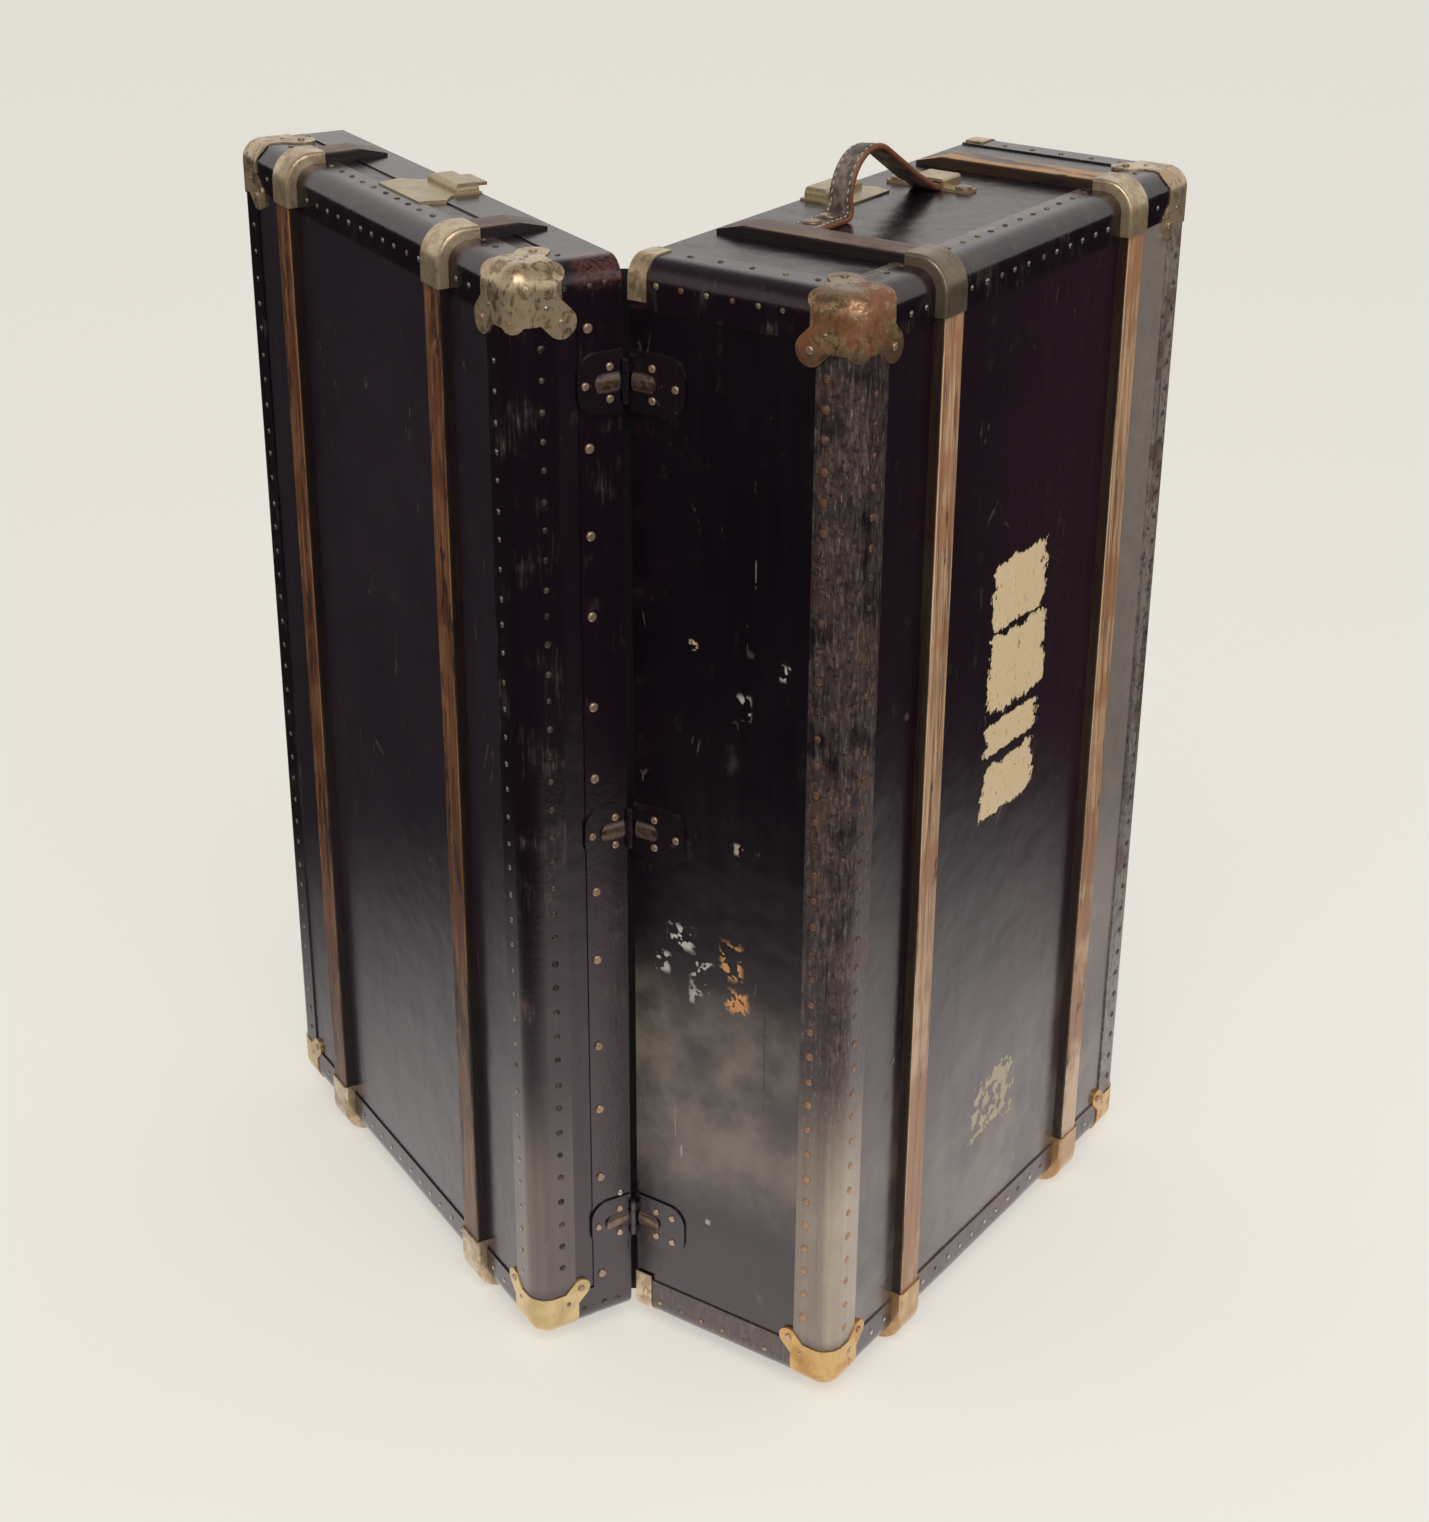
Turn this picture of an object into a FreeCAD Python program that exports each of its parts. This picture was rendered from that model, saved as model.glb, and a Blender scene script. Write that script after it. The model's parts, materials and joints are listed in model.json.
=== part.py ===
import FreeCAD, Part
import math
import os
from FreeCAD import Rotation, Vector

# A flat steamer trunk that stands on one end with its lid swung open.
# All sizes are in millimetres. Each half is drawn in the shut trunk, with the hinge pins on the
# Z axis and the rim plane at x = 0: the base lies at x > 0 and the lid is drawn there too, then
# mirrored to x < 0 and swung open. Y runs across the width from the hinge side to the lock side.

# The two halves
TRUNK_LENGTH = 914.0
TRUNK_WIDTH = 506.0
DEPTHS = {"base": 194.5, "lid": 88.5}
OPEN_ANGLE = 65.6
WALL = 9.0
EDGE_RADIUS = 15.0
RIM_GAP = 1.0
LINING = 0.8
OVERRUN = 5.0
HALVES = ("base", "lid")

# The tongue that guides the lid home
TONGUE_STICKOUT = 9.0
TONGUE_THICKNESS = 6.0
TONGUE_GRIP = 30.0
TONGUE_CLEARANCE = 1.2
TONGUE_BACK_SETBACK = 22.0

# Bindings along the outer edges and the band round the rim of the lid
BINDING = 1.5
BINDING_LEG = 35.0
BAND = 1.2
BAND_WIDTH = 36.0

# Corner caps and the small irons at the rim corners of the base
CAP = 1.2
TOP_CAP = {"leg": 40.0, "lobe": 12.0, "nose": 45.0}
FOOT_CAP = {"leg": 37.0, "lobe": 8.5, "nose": 38.0}
LOBE_PLACE = 39.5
NOSE_RADIUS = 12.0
RIM_IRON_WIDTH = 16.0
TOP_IRON_LEG = 29.0
FOOT_IRON_LEG = 40.0

# Slats and the clamps over their ends
SLAT_WIDTH = 28.0
SLAT_HEIGHT = 9.0
SLAT_INSET_SHARE = 0.1907
SLAT_EDGE = 2.0
END_SLAT_SETBACK = 8.0
END_SLAT_TAPER = 24.0
END_SLAT_NOSE = 2.0
CLAMP = 1.5
CLAMP_CLEARANCE = 0.1
CLAMP_EDGE = 2.5
TOP_CLAMP_LEG = 32.0
FOOT_CLAMP_LEG = 42.0
CLAMP_END_LEG = 25.0

# Hinges: two leaves, each with a pressed rib that runs into its knuckle, and a pin
HINGE_SHARES = (0.105, 0.507, 0.903)
LEAF = 1.8
LEAF_LENGTHS = {"base": 50.0, "lid": 38.0}
LEAF_HEIGHT = 46.0
LEAF_CORNER = 16.0
LEAF_EDGE_GAP = 0.6
RIB_LENGTH = 25.0
RIB_WIDTH = 15.0
RIB_HEIGHT = 2.2
KNUCKLE_RADIUS = 2.8
KNUCKLE_GAP = 0.4
KNUCKLE_SEAT_GAP = 1.0
BASE_KNUCKLE = 8.0
LID_KNUCKLE = 14.0
PIN_RADIUS = 1.3
PIN_CLEARANCE = 0.05
PIN_HEAD_RADIUS = 2.3
PIN_HEAD_HEIGHT = 1.2
LEAF_RIVETS_NEAR = {"base": 21.5, "lid": 12.0}
LEAF_RIVETS_FAR = {"base": 42.0, "lid": 32.0}
LEAF_RIVET_RISE = 12.0
DOUBLED_SHARE = 0.9

# Rivets and tacks
RIVET_RADIUS = 3.0
RIVET_HEIGHT = 1.5
TACK_RADIUS = 3.7
TACK_HEIGHT = 1.8
TACK_INSET = 28.0
TACK_SHARES = (0.051, 0.158, 0.231, 0.297, 0.385, 0.452, 0.560, 0.626, 0.707, 0.777, 0.851, 0.949)
STUD_RADIUS = 7.0
STUD_HEIGHT = 2.2
DOME_SHARE = 0.7

# Leather handle on the end of the base: a long back foot, an arch that leans back over it and a
# short front foot under the bridge of the loop
HANDLE_FROM_RIM = 59.0
HANDLE_START_SHARE = 0.2589
HANDLE_BACK_FOOT = 46.5
HANDLE_FRONT_FOOT = 15.0
HANDLE_WIDTH = 24.5
HANDLE_THICKNESS = 5.0
HANDLE_HEIGHT = 53.0
HANDLE_BEND = 8.0
HANDLE_CROWN = 34.0
HANDLE_RISE = 86.0
HANDLE_FALL = 31.0
STUD_SHARES = (0.33, 0.84)
LOOP_LENGTH = 27.0
LOOP_START_GAP = 1.0
LOOP_METAL = 2.4
LOOP_CLEARANCE = 0.3
LOOP_HEADROOM = 1.4
LOOP_FOOT_LENGTH = 14.0
LOOP_FOOT_REACH = 22.0
LOOP_STUD_SHARE = 0.66

# Dowel catch on the end: a tongue on the lid that enters a box on the base
CATCH_PLATE = 1.5
BASE_CATCH = {"depth": 42.0, "neck": 32.0, "wide": 36.0}
LID_CATCH = {"depth": 57.0, "neck": 31.0, "wide": 43.0}
CATCH_SHOULDER_SHARES = (0.45, 0.63)
CATCH_TAIL_SHARE = 0.87
CATCH_BLOCK_LENGTH = 20.0
CATCH_BLOCK_HEIGHT = 8.6
CATCH_BLOCK_HALF_WIDTH = 26.0
CATCH_TONGUE_HALF_WIDTH = 15.5
CATCH_TONGUE = 2.6
CATCH_TONGUE_REACH = 12.0
CATCH_TONGUE_RISE = 3.6
CATCH_CLEARANCE = 1.0
CATCH_BOX_ROUND = 5.0

# Lock and hasp at mid length of the lock side, with a spring catch on either side of it
HASP = {"half": 24.0, "reach": 52.0, "plate": 30.0}
SIDE_CATCH = {"half": 13.0, "reach": 40.0, "plate": 26.0}
SIDE_CATCH_INSET = 190.0
HASP_METAL = 2.4
HASP_PIN_INSET = 9.0
HASP_PIN_RADIUS = 2.0
HASP_KNUCKLE_RADIUS = 4.2
HASP_KNUCKLE_GAP = 0.5
HASP_LIFT = 0.6
KEEPER_METAL = 2.0
KEEPER_INSET = 4.0
HASP_NOSE = 8.0
LOCK_BARREL_RADIUS = 8.0
LOCK_BARREL_HEIGHT = 1.6
LOCK_BARREL_GAP = 8.0

# Places worked out from the sizes above
BACK = BAND + KNUCKLE_SEAT_GAP + KNUCKLE_RADIUS
FRONT = BACK + TRUNK_WIDTH
MIDDLE = BACK + TRUNK_WIDTH / 2
RIM = RIM_GAP / 2
BOTTOM = SLAT_HEIGHT + CLAMP
TOP = BOTTOM + TRUNK_LENGTH
WAIST = (BOTTOM + TOP) / 2
SIDE_LEVELS = (BOTTOM + SIDE_CATCH_INSET, TOP - SIDE_CATCH_INSET)
HINGE_LEVELS = [BOTTOM + TRUNK_LENGTH * share for share in HINGE_SHARES]
SLAT_INSET = TRUNK_WIDTH * SLAT_INSET_SHARE
SLAT_CENTRES = {"back": BACK + SLAT_INSET + SLAT_WIDTH / 2, "front": FRONT - SLAT_INSET - SLAT_WIDTH / 2}
HANDLE_X = RIM + HANDLE_FROM_RIM
HANDLE_START = TRUNK_WIDTH * HANDLE_START_SHARE
X_AXIS = Vector(1, 0, 0)
Y_AXIS = Vector(0, 1, 0)
Z_AXIS = Vector(0, 0, 1)
ORIGIN = Vector(0, 0, 0)


def block(x0, x1, y0, y1, z0, z1):
    """A box between two corners."""
    return Part.makeBox(x1 - x0, y1 - y0, z1 - z0, Vector(x0, y0, z0))


def fused(shapes):
    """The shapes joined into one solid, with the seams between them cleaned away."""
    return shapes[0].multiFuse(shapes[1:]).removeSplitter()


def upside_down(shape):
    """The shape's twin at the other end of the trunk."""
    return shape.mirror(Vector(0, 0, WAIST), Z_AXIS)


def across(shape):
    """The shape's twin on the other side of the trunk's width."""
    return shape.mirror(Vector(0, MIDDLE, 0), Y_AXIS)


def outer_face(half):
    """The x of the broad outer face of one half."""
    return RIM + DEPTHS[half]


def rounded_half(half, grow):
    """One half's outer form, grown outwards, with every edge rounded but those at the rim."""
    box = block(RIM, outer_face(half) + grow, BACK - grow, FRONT + grow, BOTTOM - grow, TOP + grow)
    edges = [edge for edge in box.Edges if edge.CenterOfMass.x > RIM + OVERRUN]
    return box.makeFillet(EDGE_RADIUS + grow, edges)


def skin(half, inner, outer):
    """The layer between two grown forms of one half, open at the rim."""
    return rounded_half(half, outer).cut(rounded_half(half, inner))


def hollow(half, wall):
    """The space inside one half, with walls of the given thickness, run out past the rim."""
    return block(-OVERRUN, outer_face(half) - wall, BACK + wall, FRONT - wall, BOTTOM + wall, TOP - wall)


def shell(half):
    """The wooden box of one half, open at the rim."""
    return rounded_half(half, 0).cut(hollow(half, WALL))


def lining(half):
    """The paper lining inside one half."""
    outside = hollow(half, WALL).common(rounded_half(half, 0))
    return outside.cut(hollow(half, WALL + LINING))


def tongue():
    """The wooden tongue inside the rim of the base, on the two ends and the lock side."""
    inset = WALL + LINING + TONGUE_CLEARANCE
    start = BACK + WALL + LINING + TONGUE_BACK_SETBACK
    outside = block(-TONGUE_STICKOUT, TONGUE_GRIP, start, FRONT - inset, BOTTOM + inset, TOP - inset)
    inner = inset + TONGUE_THICKNESS
    inside = block(-TONGUE_STICKOUT - OVERRUN, TONGUE_GRIP + OVERRUN, start - OVERRUN, FRONT - inner,
                   BOTTOM + inner, TOP - inner)
    frame = outside.cut(inside)
    seat = WALL + LINING
    pads = block(RIM + RIM_GAP, TONGUE_GRIP, start, FRONT - seat, BOTTOM + seat, TOP - seat)
    pads = pads.cut(inside)
    return fused([frame, pads])


def end_binding(half):
    """The binding round the top end: a strip on the end face, folded over three edges."""
    start = RIM if half == "base" else RIM + BAND_WIDTH
    far = outer_face(half) + BINDING + OVERRUN
    low = TOP - BINDING_LEG
    high = TOP + BINDING + OVERRUN
    zone = block(start, far, BACK - OVERRUN, FRONT + OVERRUN, low, high)
    window = block(-OVERRUN, outer_face(half) - BINDING_LEG, BACK + BINDING_LEG, FRONT - BINDING_LEG,
                   low - OVERRUN, high + OVERRUN)
    return skin(half, 0, BINDING).common(zone.cut(window))


def upright_binding(half):
    """The binding down the outer edge of the hinge side, between the end bindings."""
    face = outer_face(half)
    zone = block(face - BINDING_LEG, face + OVERRUN, BACK - OVERRUN, BACK + BINDING_LEG,
                 BOTTOM + BINDING_LEG, TOP - BINDING_LEG)
    return skin(half, 0, BINDING).common(zone)


def rim_band():
    """The flat band round the outside of the lid's rim."""
    zone = block(RIM, RIM + BAND_WIDTH, BACK - OVERRUN, FRONT + OVERRUN, BOTTOM - OVERRUN, TOP + OVERRUN)
    return skin("lid", 0, BAND).common(zone)


def corner_zone(half, size):
    """The space of a corner cap at the top of the hinge side.

    It is a cube, a lobe that points away from the corner on each face, and a nose along each edge.
    """
    leg = size["leg"]
    face = outer_face(half)
    depth = BINDING + CAP + OVERRUN
    cube = block(face - leg, face + depth, BACK - depth, BACK + leg, TOP - leg, TOP + depth)
    corner = Vector(face, BACK, TOP)
    pieces = [cube]
    faces = ((-Y_AXIS, -X_AXIS, -Z_AXIS), (X_AXIS, Y_AXIS, -Z_AXIS), (Z_AXIS, -X_AXIS, Y_AXIS))
    for normal, first, second in faces:
        centre = corner + (first + second) * LOBE_PLACE - normal * depth
        pieces.append(Part.makeCylinder(size["lobe"], 2 * depth, centre, normal))
        pieces.append(lobe_neck(corner - normal * depth, centre, normal, size["lobe"], 2 * depth))
    for along in (-X_AXIS, Y_AXIS, -Z_AXIS):
        pieces.append(Part.makeSphere(NOSE_RADIUS, corner + along * (size["nose"] - NOSE_RADIUS)))
    return fused(pieces)


def lobe_neck(start, centre, normal, half_width, height):
    """The straight bar between the corner and the middle of a cap's lobe."""
    along = centre - start
    aside = along.cross(normal).normalize() * half_width
    points = [start - aside, centre - aside, centre + aside, start + aside]
    return Part.Face(Part.makePolygon(points + points[:1])).extrude(normal * height)


def corner_cap(half, size, bindings):
    """A pressed metal cap over the corner at the top of the hinge side."""
    cap = skin(half, 0, BINDING + CAP).common(corner_zone(half, size))
    return cap.cut(bindings)


def rim_iron(leg):
    """The small iron folded round the corner of the base's rim, at the top of the hinge side."""
    zone = block(RIM, RIM + RIM_IRON_WIDTH, BACK - OVERRUN, BACK + leg, TOP - leg, TOP + OVERRUN)
    return skin("base", BINDING, BINDING + CAP).common(zone)


def face_slat(half, centre, obstacles):
    """A long hardwood slat on the broad face, from edge to edge."""
    face = outer_face(half)
    y0 = centre - SLAT_WIDTH / 2
    slat = block(face, face + SLAT_HEIGHT, y0, y0 + SLAT_WIDTH, BOTTOM + EDGE_RADIUS, TOP - EDGE_RADIUS)
    crest = face + SLAT_HEIGHT
    edges = [e for e in slat.Edges if e.Length > TRUNK_WIDTH / 2 and e.CenterOfMass.x > crest - SLAT_EDGE]
    return slat.makeFillet(SLAT_EDGE, edges).cut(obstacles)


def end_slat(half, centre, obstacles):
    """A short slat on the top end face, tapered to a thin nose near the rim."""
    y0 = centre - SLAT_WIDTH / 2
    start = RIM + END_SLAT_SETBACK
    stop = outer_face(half) - EDGE_RADIUS
    crest = TOP + SLAT_HEIGHT
    profile = [
        Vector(start, y0, TOP),
        Vector(stop, y0, TOP),
        Vector(stop, y0, crest),
        Vector(start + END_SLAT_TAPER, y0, crest),
        Vector(start, y0, TOP + BAND + END_SLAT_NOSE),
    ]
    face = Part.Face(Part.makePolygon(profile + profile[:1]))
    slat = face.extrude(Vector(0, SLAT_WIDTH, 0))
    high = [e for e in slat.Edges if e.CenterOfMass.z > crest - SLAT_EDGE]
    edges = [e for e in high if abs(e.CenterOfMass.y - centre) > SLAT_WIDTH / 4]
    return slat.makeFillet(SLAT_EDGE, edges).cut(obstacles)


def bend(half, low, high, y0, y1, face_leg, end_leg):
    """A layer folded round the top outer edge, between two heights above the faces."""
    cx = outer_face(half) - EDGE_RADIUS
    cz = TOP - EDGE_RADIUS
    inner = EDGE_RADIUS + low
    outer = EDGE_RADIUS + high
    ring = Part.makeCylinder(outer, y1 - y0, Vector(cx, y0, cz), Y_AXIS)
    if inner > 0:
        ring = ring.cut(Part.makeCylinder(inner, y1 - y0, Vector(cx, y0, cz), Y_AXIS))
    quarter = ring.common(block(cx, cx + outer, y0, y1, cz, cz + outer))
    down = block(cx + inner, cx + outer, y0, y1, TOP - face_leg, cz)
    along = block(outer_face(half) - end_leg, cx, y0, y1, cz + inner, cz + outer)
    return fused([quarter, down, along])


def at_crest(half, edge):
    """Whether an edge of a clamp's bend runs along its outer surface."""
    crest = SLAT_HEIGHT + CLAMP
    middle = edge.valueAt((edge.FirstParameter + edge.LastParameter) / 2)
    cx = outer_face(half) - EDGE_RADIUS
    cz = TOP - EDGE_RADIUS
    away = math.hypot(max(middle.x - cx, 0), max(middle.z - cz, 0))
    lengthwise = abs(edge.tangentAt(edge.FirstParameter).y) < 1 / 2
    return lengthwise and away > EDGE_RADIUS + crest - CLAMP / 2


def slat_clamp(half, centre, face_leg, obstacles):
    """A metal channel folded over the outer edge, that holds the ends of two slats."""
    inner = SLAT_WIDTH / 2 + CLAMP_CLEARANCE
    outer = inner + CLAMP
    body = bend(half, 0, SLAT_HEIGHT + CLAMP, centre - outer, centre + outer, face_leg, CLAMP_END_LEG)
    room = bend(half, -OVERRUN, SLAT_HEIGHT, centre - inner, centre + inner,
                face_leg + OVERRUN, CLAMP_END_LEG + OVERRUN)
    high = [e for e in body.Edges if abs(e.CenterOfMass.y - centre) > inner and at_crest(half, e)]
    return body.makeFillet(CLAMP_EDGE, high).cut(room).cut(obstacles)


def dome(point, normal, radius, height):
    """A rivet or tack head: a short stud with a rounded top."""
    head = Part.makeCylinder(radius, height, point, normal)
    crown = max(head.Edges, key=lambda e: (e.CenterOfMass - point).dot(normal))
    return head.makeFillet(height * DOME_SHARE, [crown])


def leaf(half, level, knuckles):
    """A hinge leaf on the hinge side: plate, pressed rib and knuckles round the pin."""
    seat = BACK - (BAND if half == "lid" else 0)
    near = RIM + LEAF_EDGE_GAP
    far = LEAF_LENGTHS[half]
    half_height = LEAF_HEIGHT / 2
    plate = block(near, far, seat - LEAF, seat, level - half_height, level + half_height)
    thick = [e for e in plate.Edges if e.Length < near + LEAF and e.CenterOfMass.x > far - near]
    plate = plate.makeFillet(LEAF_CORNER, thick)
    flat = RIB_WIDTH / 2
    rib_radius = (flat ** 2 + RIB_HEIGHT ** 2) / (2 * RIB_HEIGHT)
    crest = seat - LEAF - RIB_HEIGHT
    rib = Part.makeCylinder(rib_radius, RIB_LENGTH - near, Vector(near, crest + rib_radius, level), X_AXIS)
    straight = block(near, RIB_LENGTH - flat, crest, seat - LEAF, level - flat, level + flat)
    rounded = Part.makeCylinder(flat, seat - LEAF - crest, Vector(RIB_LENGTH - flat, crest, level), Y_AXIS)
    rib = rib.common(fused([straight, rounded]))
    reach = LID_KNUCKLE / 2 + 2 * KNUCKLE_GAP + BASE_KNUCKLE + PIN_HEAD_HEIGHT
    slot = Part.makeCylinder(KNUCKLE_RADIUS + KNUCKLE_GAP, 2 * reach, Vector(0, 0, level - reach), Z_AXIS)
    rib_start = KNUCKLE_RADIUS + 3 * KNUCKLE_GAP
    rib_slot = block(0, rib_start, -BACK, seat - LEAF, level - reach, level + reach)
    pieces = [plate.cut(slot), rib.cut(rib_slot)]
    link = KNUCKLE_RADIUS + 2 * KNUCKLE_GAP
    for low, high in knuckles:
        pieces.append(Part.makeCylinder(KNUCKLE_RADIUS, high - low, Vector(0, 0, level + low), Z_AXIS))
        pieces.append(block(0, link, 0, seat - LEAF / 2, level + low, level + high))
    foot = Vector(0, 0, level - half_height)
    return fused(pieces).cut(Part.makeCylinder(PIN_RADIUS + PIN_CLEARANCE, LEAF_HEIGHT, foot, Z_AXIS))


def hinge_pin(level):
    """A hinge pin with a flat head at both ends."""
    reach = LID_KNUCKLE / 2 + KNUCKLE_GAP + BASE_KNUCKLE + PIN_CLEARANCE
    shaft = Part.makeCylinder(PIN_RADIUS, 2 * reach, Vector(0, 0, level - reach), Z_AXIS)
    heads = [
        Part.makeCylinder(PIN_HEAD_RADIUS, PIN_HEAD_HEIGHT, Vector(0, 0, z), Z_AXIS)
        for z in (level + reach, level - reach - PIN_HEAD_HEIGHT)
    ]
    return fused([shaft] + heads)


def knuckle_spans(half):
    """The stretches of the pin that one half's knuckles hold."""
    middle = LID_KNUCKLE / 2
    if half == "lid":
        return [(-middle, middle)]
    near = middle + KNUCKLE_GAP
    return [(near, near + BASE_KNUCKLE), (-near - BASE_KNUCKLE, -near)]


def handle_runs():
    """The lengths of the straight rising and falling runs of the handle's arch."""
    crest = HANDLE_HEIGHT - HANDLE_THICKNESS
    curve = HANDLE_BEND + HANDLE_CROWN
    leans = [math.radians(lean) for lean in (HANDLE_RISE, HANDLE_FALL)]
    return [(crest - curve * (1 - math.cos(lean))) / math.sin(lean) for lean in leans]


def handle_moves():
    """The strap's middle line from foot to foot, as a length and a turn for each run or bend."""
    up = math.radians(HANDLE_RISE)
    down = math.radians(HANDLE_FALL)
    rise, fall = handle_runs()
    return [
        (HANDLE_BACK_FOOT, 0), (HANDLE_BEND, up), (rise, 0), (HANDLE_CROWN, -up - down),
        (fall, 0), (HANDLE_BEND, down), (HANDLE_FRONT_FOOT, 0),
    ]


def handle_path():
    """The middle line of the handle strap: a list of edges, and the point where the front foot starts."""
    point = Vector(HANDLE_X, BACK + HANDLE_START, TOP + HANDLE_THICKNESS / 2)
    heading = 0
    edges = []

    def ahead(angle, length):
        return Vector(0, length * math.cos(angle), length * math.sin(angle))

    for length, turn in handle_moves():
        start = point
        if turn == 0:
            point = start + ahead(heading, length)
            edges.append(Part.LineSegment(start, point).toShape())
            continue
        size = abs(turn)
        middle = start + ahead(heading + turn / 4, 2 * length * math.sin(size / 4))
        point = start + ahead(heading + turn / 2, 2 * length * math.sin(size / 2))
        edges.append(Part.Arc(start, middle, point).toShape())
        heading = heading + turn
    return edges, start


def handle_strap():
    """The leather strap of the handle: feet flat on the end, the middle arched up."""
    path = Part.Wire(handle_path()[0])
    start = path.Vertexes[0].Point
    wide = HANDLE_WIDTH / 2
    thick = HANDLE_THICKNESS / 2
    corners = [(-wide, -thick), (wide, -thick), (wide, thick), (-wide, thick)]
    points = [start + Vector(x, 0, z) for x, z in corners]
    section = Part.makePolygon(points + points[:1])
    return path.makePipeShell([section], True, True)


def loop_start():
    """The y where the bridge of the handle's loop starts."""
    return handle_path()[1].y + LOOP_START_GAP


def handle_loop():
    """The metal loop over the front foot of the handle: a bridge with a foot on each side."""
    y0 = loop_start()
    y1 = y0 + LOOP_LENGTH
    inner = HANDLE_WIDTH / 2 + LOOP_CLEARANCE
    outer = inner + LOOP_METAL
    foot = outer + LOOP_FOOT_REACH
    height = HANDLE_THICKNESS + LOOP_HEADROOM
    feet = block(HANDLE_X - foot, HANDLE_X + foot, y0, y0 + LOOP_FOOT_LENGTH, TOP, TOP + LOOP_METAL)
    bridge = block(HANDLE_X - outer, HANDLE_X + outer, y0, y1, TOP, TOP + height + LOOP_METAL)
    high = [e for e in bridge.Edges if e.CenterOfMass.z > TOP + height]
    bridge = bridge.makeFillet(LOOP_METAL, [e for e in high if abs(e.CenterOfMass.x - HANDLE_X) > inner])
    room = block(HANDLE_X - inner, HANDLE_X + inner, y0 - OVERRUN, y1 + OVERRUN, TOP - OVERRUN, TOP + height)
    return fused([feet, bridge]).cut(room)


def catch_outline(size):
    """The outline of a dowel-catch plate: narrow at the rim, wide further in, cut back at the tail."""
    waist, shoulder = [RIM + size["depth"] * share for share in CATCH_SHOULDER_SHARES]
    far = RIM + size["depth"]
    wide = size["wide"]
    side = [(RIM, size["neck"]), (waist, size["neck"]), (shoulder, wide), (far, wide * CATCH_TAIL_SHARE)]
    return side + [(x, -y) for x, y in reversed(side)]


def catch_plate(size, top):
    """A dowel-catch plate from the end face up to the given height."""
    points = [Vector(x, MIDDLE + y, TOP) for x, y in catch_outline(size)]
    return Part.Face(Part.makePolygon(points + points[:1])).extrude(Vector(0, 0, top))


def catch_block(top):
    """The raised block at the rim end of a catch plate, with a rounded back."""
    half_width = CATCH_BLOCK_HALF_WIDTH
    body = block(RIM, RIM + CATCH_BLOCK_LENGTH, MIDDLE - half_width, MIDDLE + half_width, TOP, TOP + top)
    high = [e for e in body.Edges if e.CenterOfMass.z > TOP + top - OVERRUN / 2]
    return body.makeFillet(CATCH_BOX_ROUND, [e for e in high if e.CenterOfMass.x > RIM + OVERRUN])


def base_catch():
    """The base's catch plate, with the hollow box that the lid's tongue enters."""
    body = fused([catch_plate(BASE_CATCH, CATCH_PLATE), catch_block(CATCH_BLOCK_HEIGHT)])
    half_width = CATCH_TONGUE_HALF_WIDTH + CATCH_CLEARANCE
    low = TOP + CATCH_TONGUE_RISE - CATCH_CLEARANCE
    high = TOP + CATCH_TONGUE_RISE + CATCH_TONGUE + CATCH_CLEARANCE
    room = block(RIM - OVERRUN, RIM + CATCH_TONGUE_REACH + CATCH_CLEARANCE, MIDDLE - half_width,
                 MIDDLE + half_width, low, high)
    return body.cut(room)


def lid_catch(obstacles):
    """The lid's catch plate, with the tongue that reaches past the rim into the base's box."""
    body = fused([catch_plate(LID_CATCH, BAND + CATCH_PLATE), catch_block(CATCH_BLOCK_HEIGHT)])
    low = TOP + CATCH_TONGUE_RISE
    stick = block(RIM - CATCH_TONGUE_REACH, RIM + CATCH_BLOCK_LENGTH / 2, MIDDLE - CATCH_TONGUE_HALF_WIDTH,
                  MIDDLE + CATCH_TONGUE_HALF_WIDTH, low, low + CATCH_TONGUE)
    return fused([body, stick]).cut(obstacles)


def hasp_seat():
    """The y of the hasp pins, with the knuckles clear of the plate that carries them."""
    return FRONT + BAND + HASP_METAL + HASP_LIFT + HASP_KNUCKLE_RADIUS


def hasp_plate(size, level, band):
    """The fixed plate on the lid that carries a hasp or a spring catch."""
    half_height = size["half"]
    near = RIM + HASP_PIN_INSET
    y = hasp_seat()
    start = near - HASP_KNUCKLE_RADIUS
    plate = block(start, near + size["plate"], FRONT, FRONT + BAND + HASP_METAL, level - half_height,
                  level + half_height)
    ear = half_height / 3
    pieces = [plate]
    for low in (level - half_height, level + half_height - ear):
        pieces.append(Part.makeCylinder(HASP_KNUCKLE_RADIUS, ear, Vector(near, y, low), Z_AXIS))
        pieces.append(block(start, near + HASP_KNUCKLE_RADIUS, FRONT + BAND, y, low, low + ear))
    pin = Part.makeCylinder(HASP_PIN_RADIUS, 2 * half_height, Vector(near, y, level - half_height), Z_AXIS)
    return fused(pieces + [pin]).cut(band)


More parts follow.
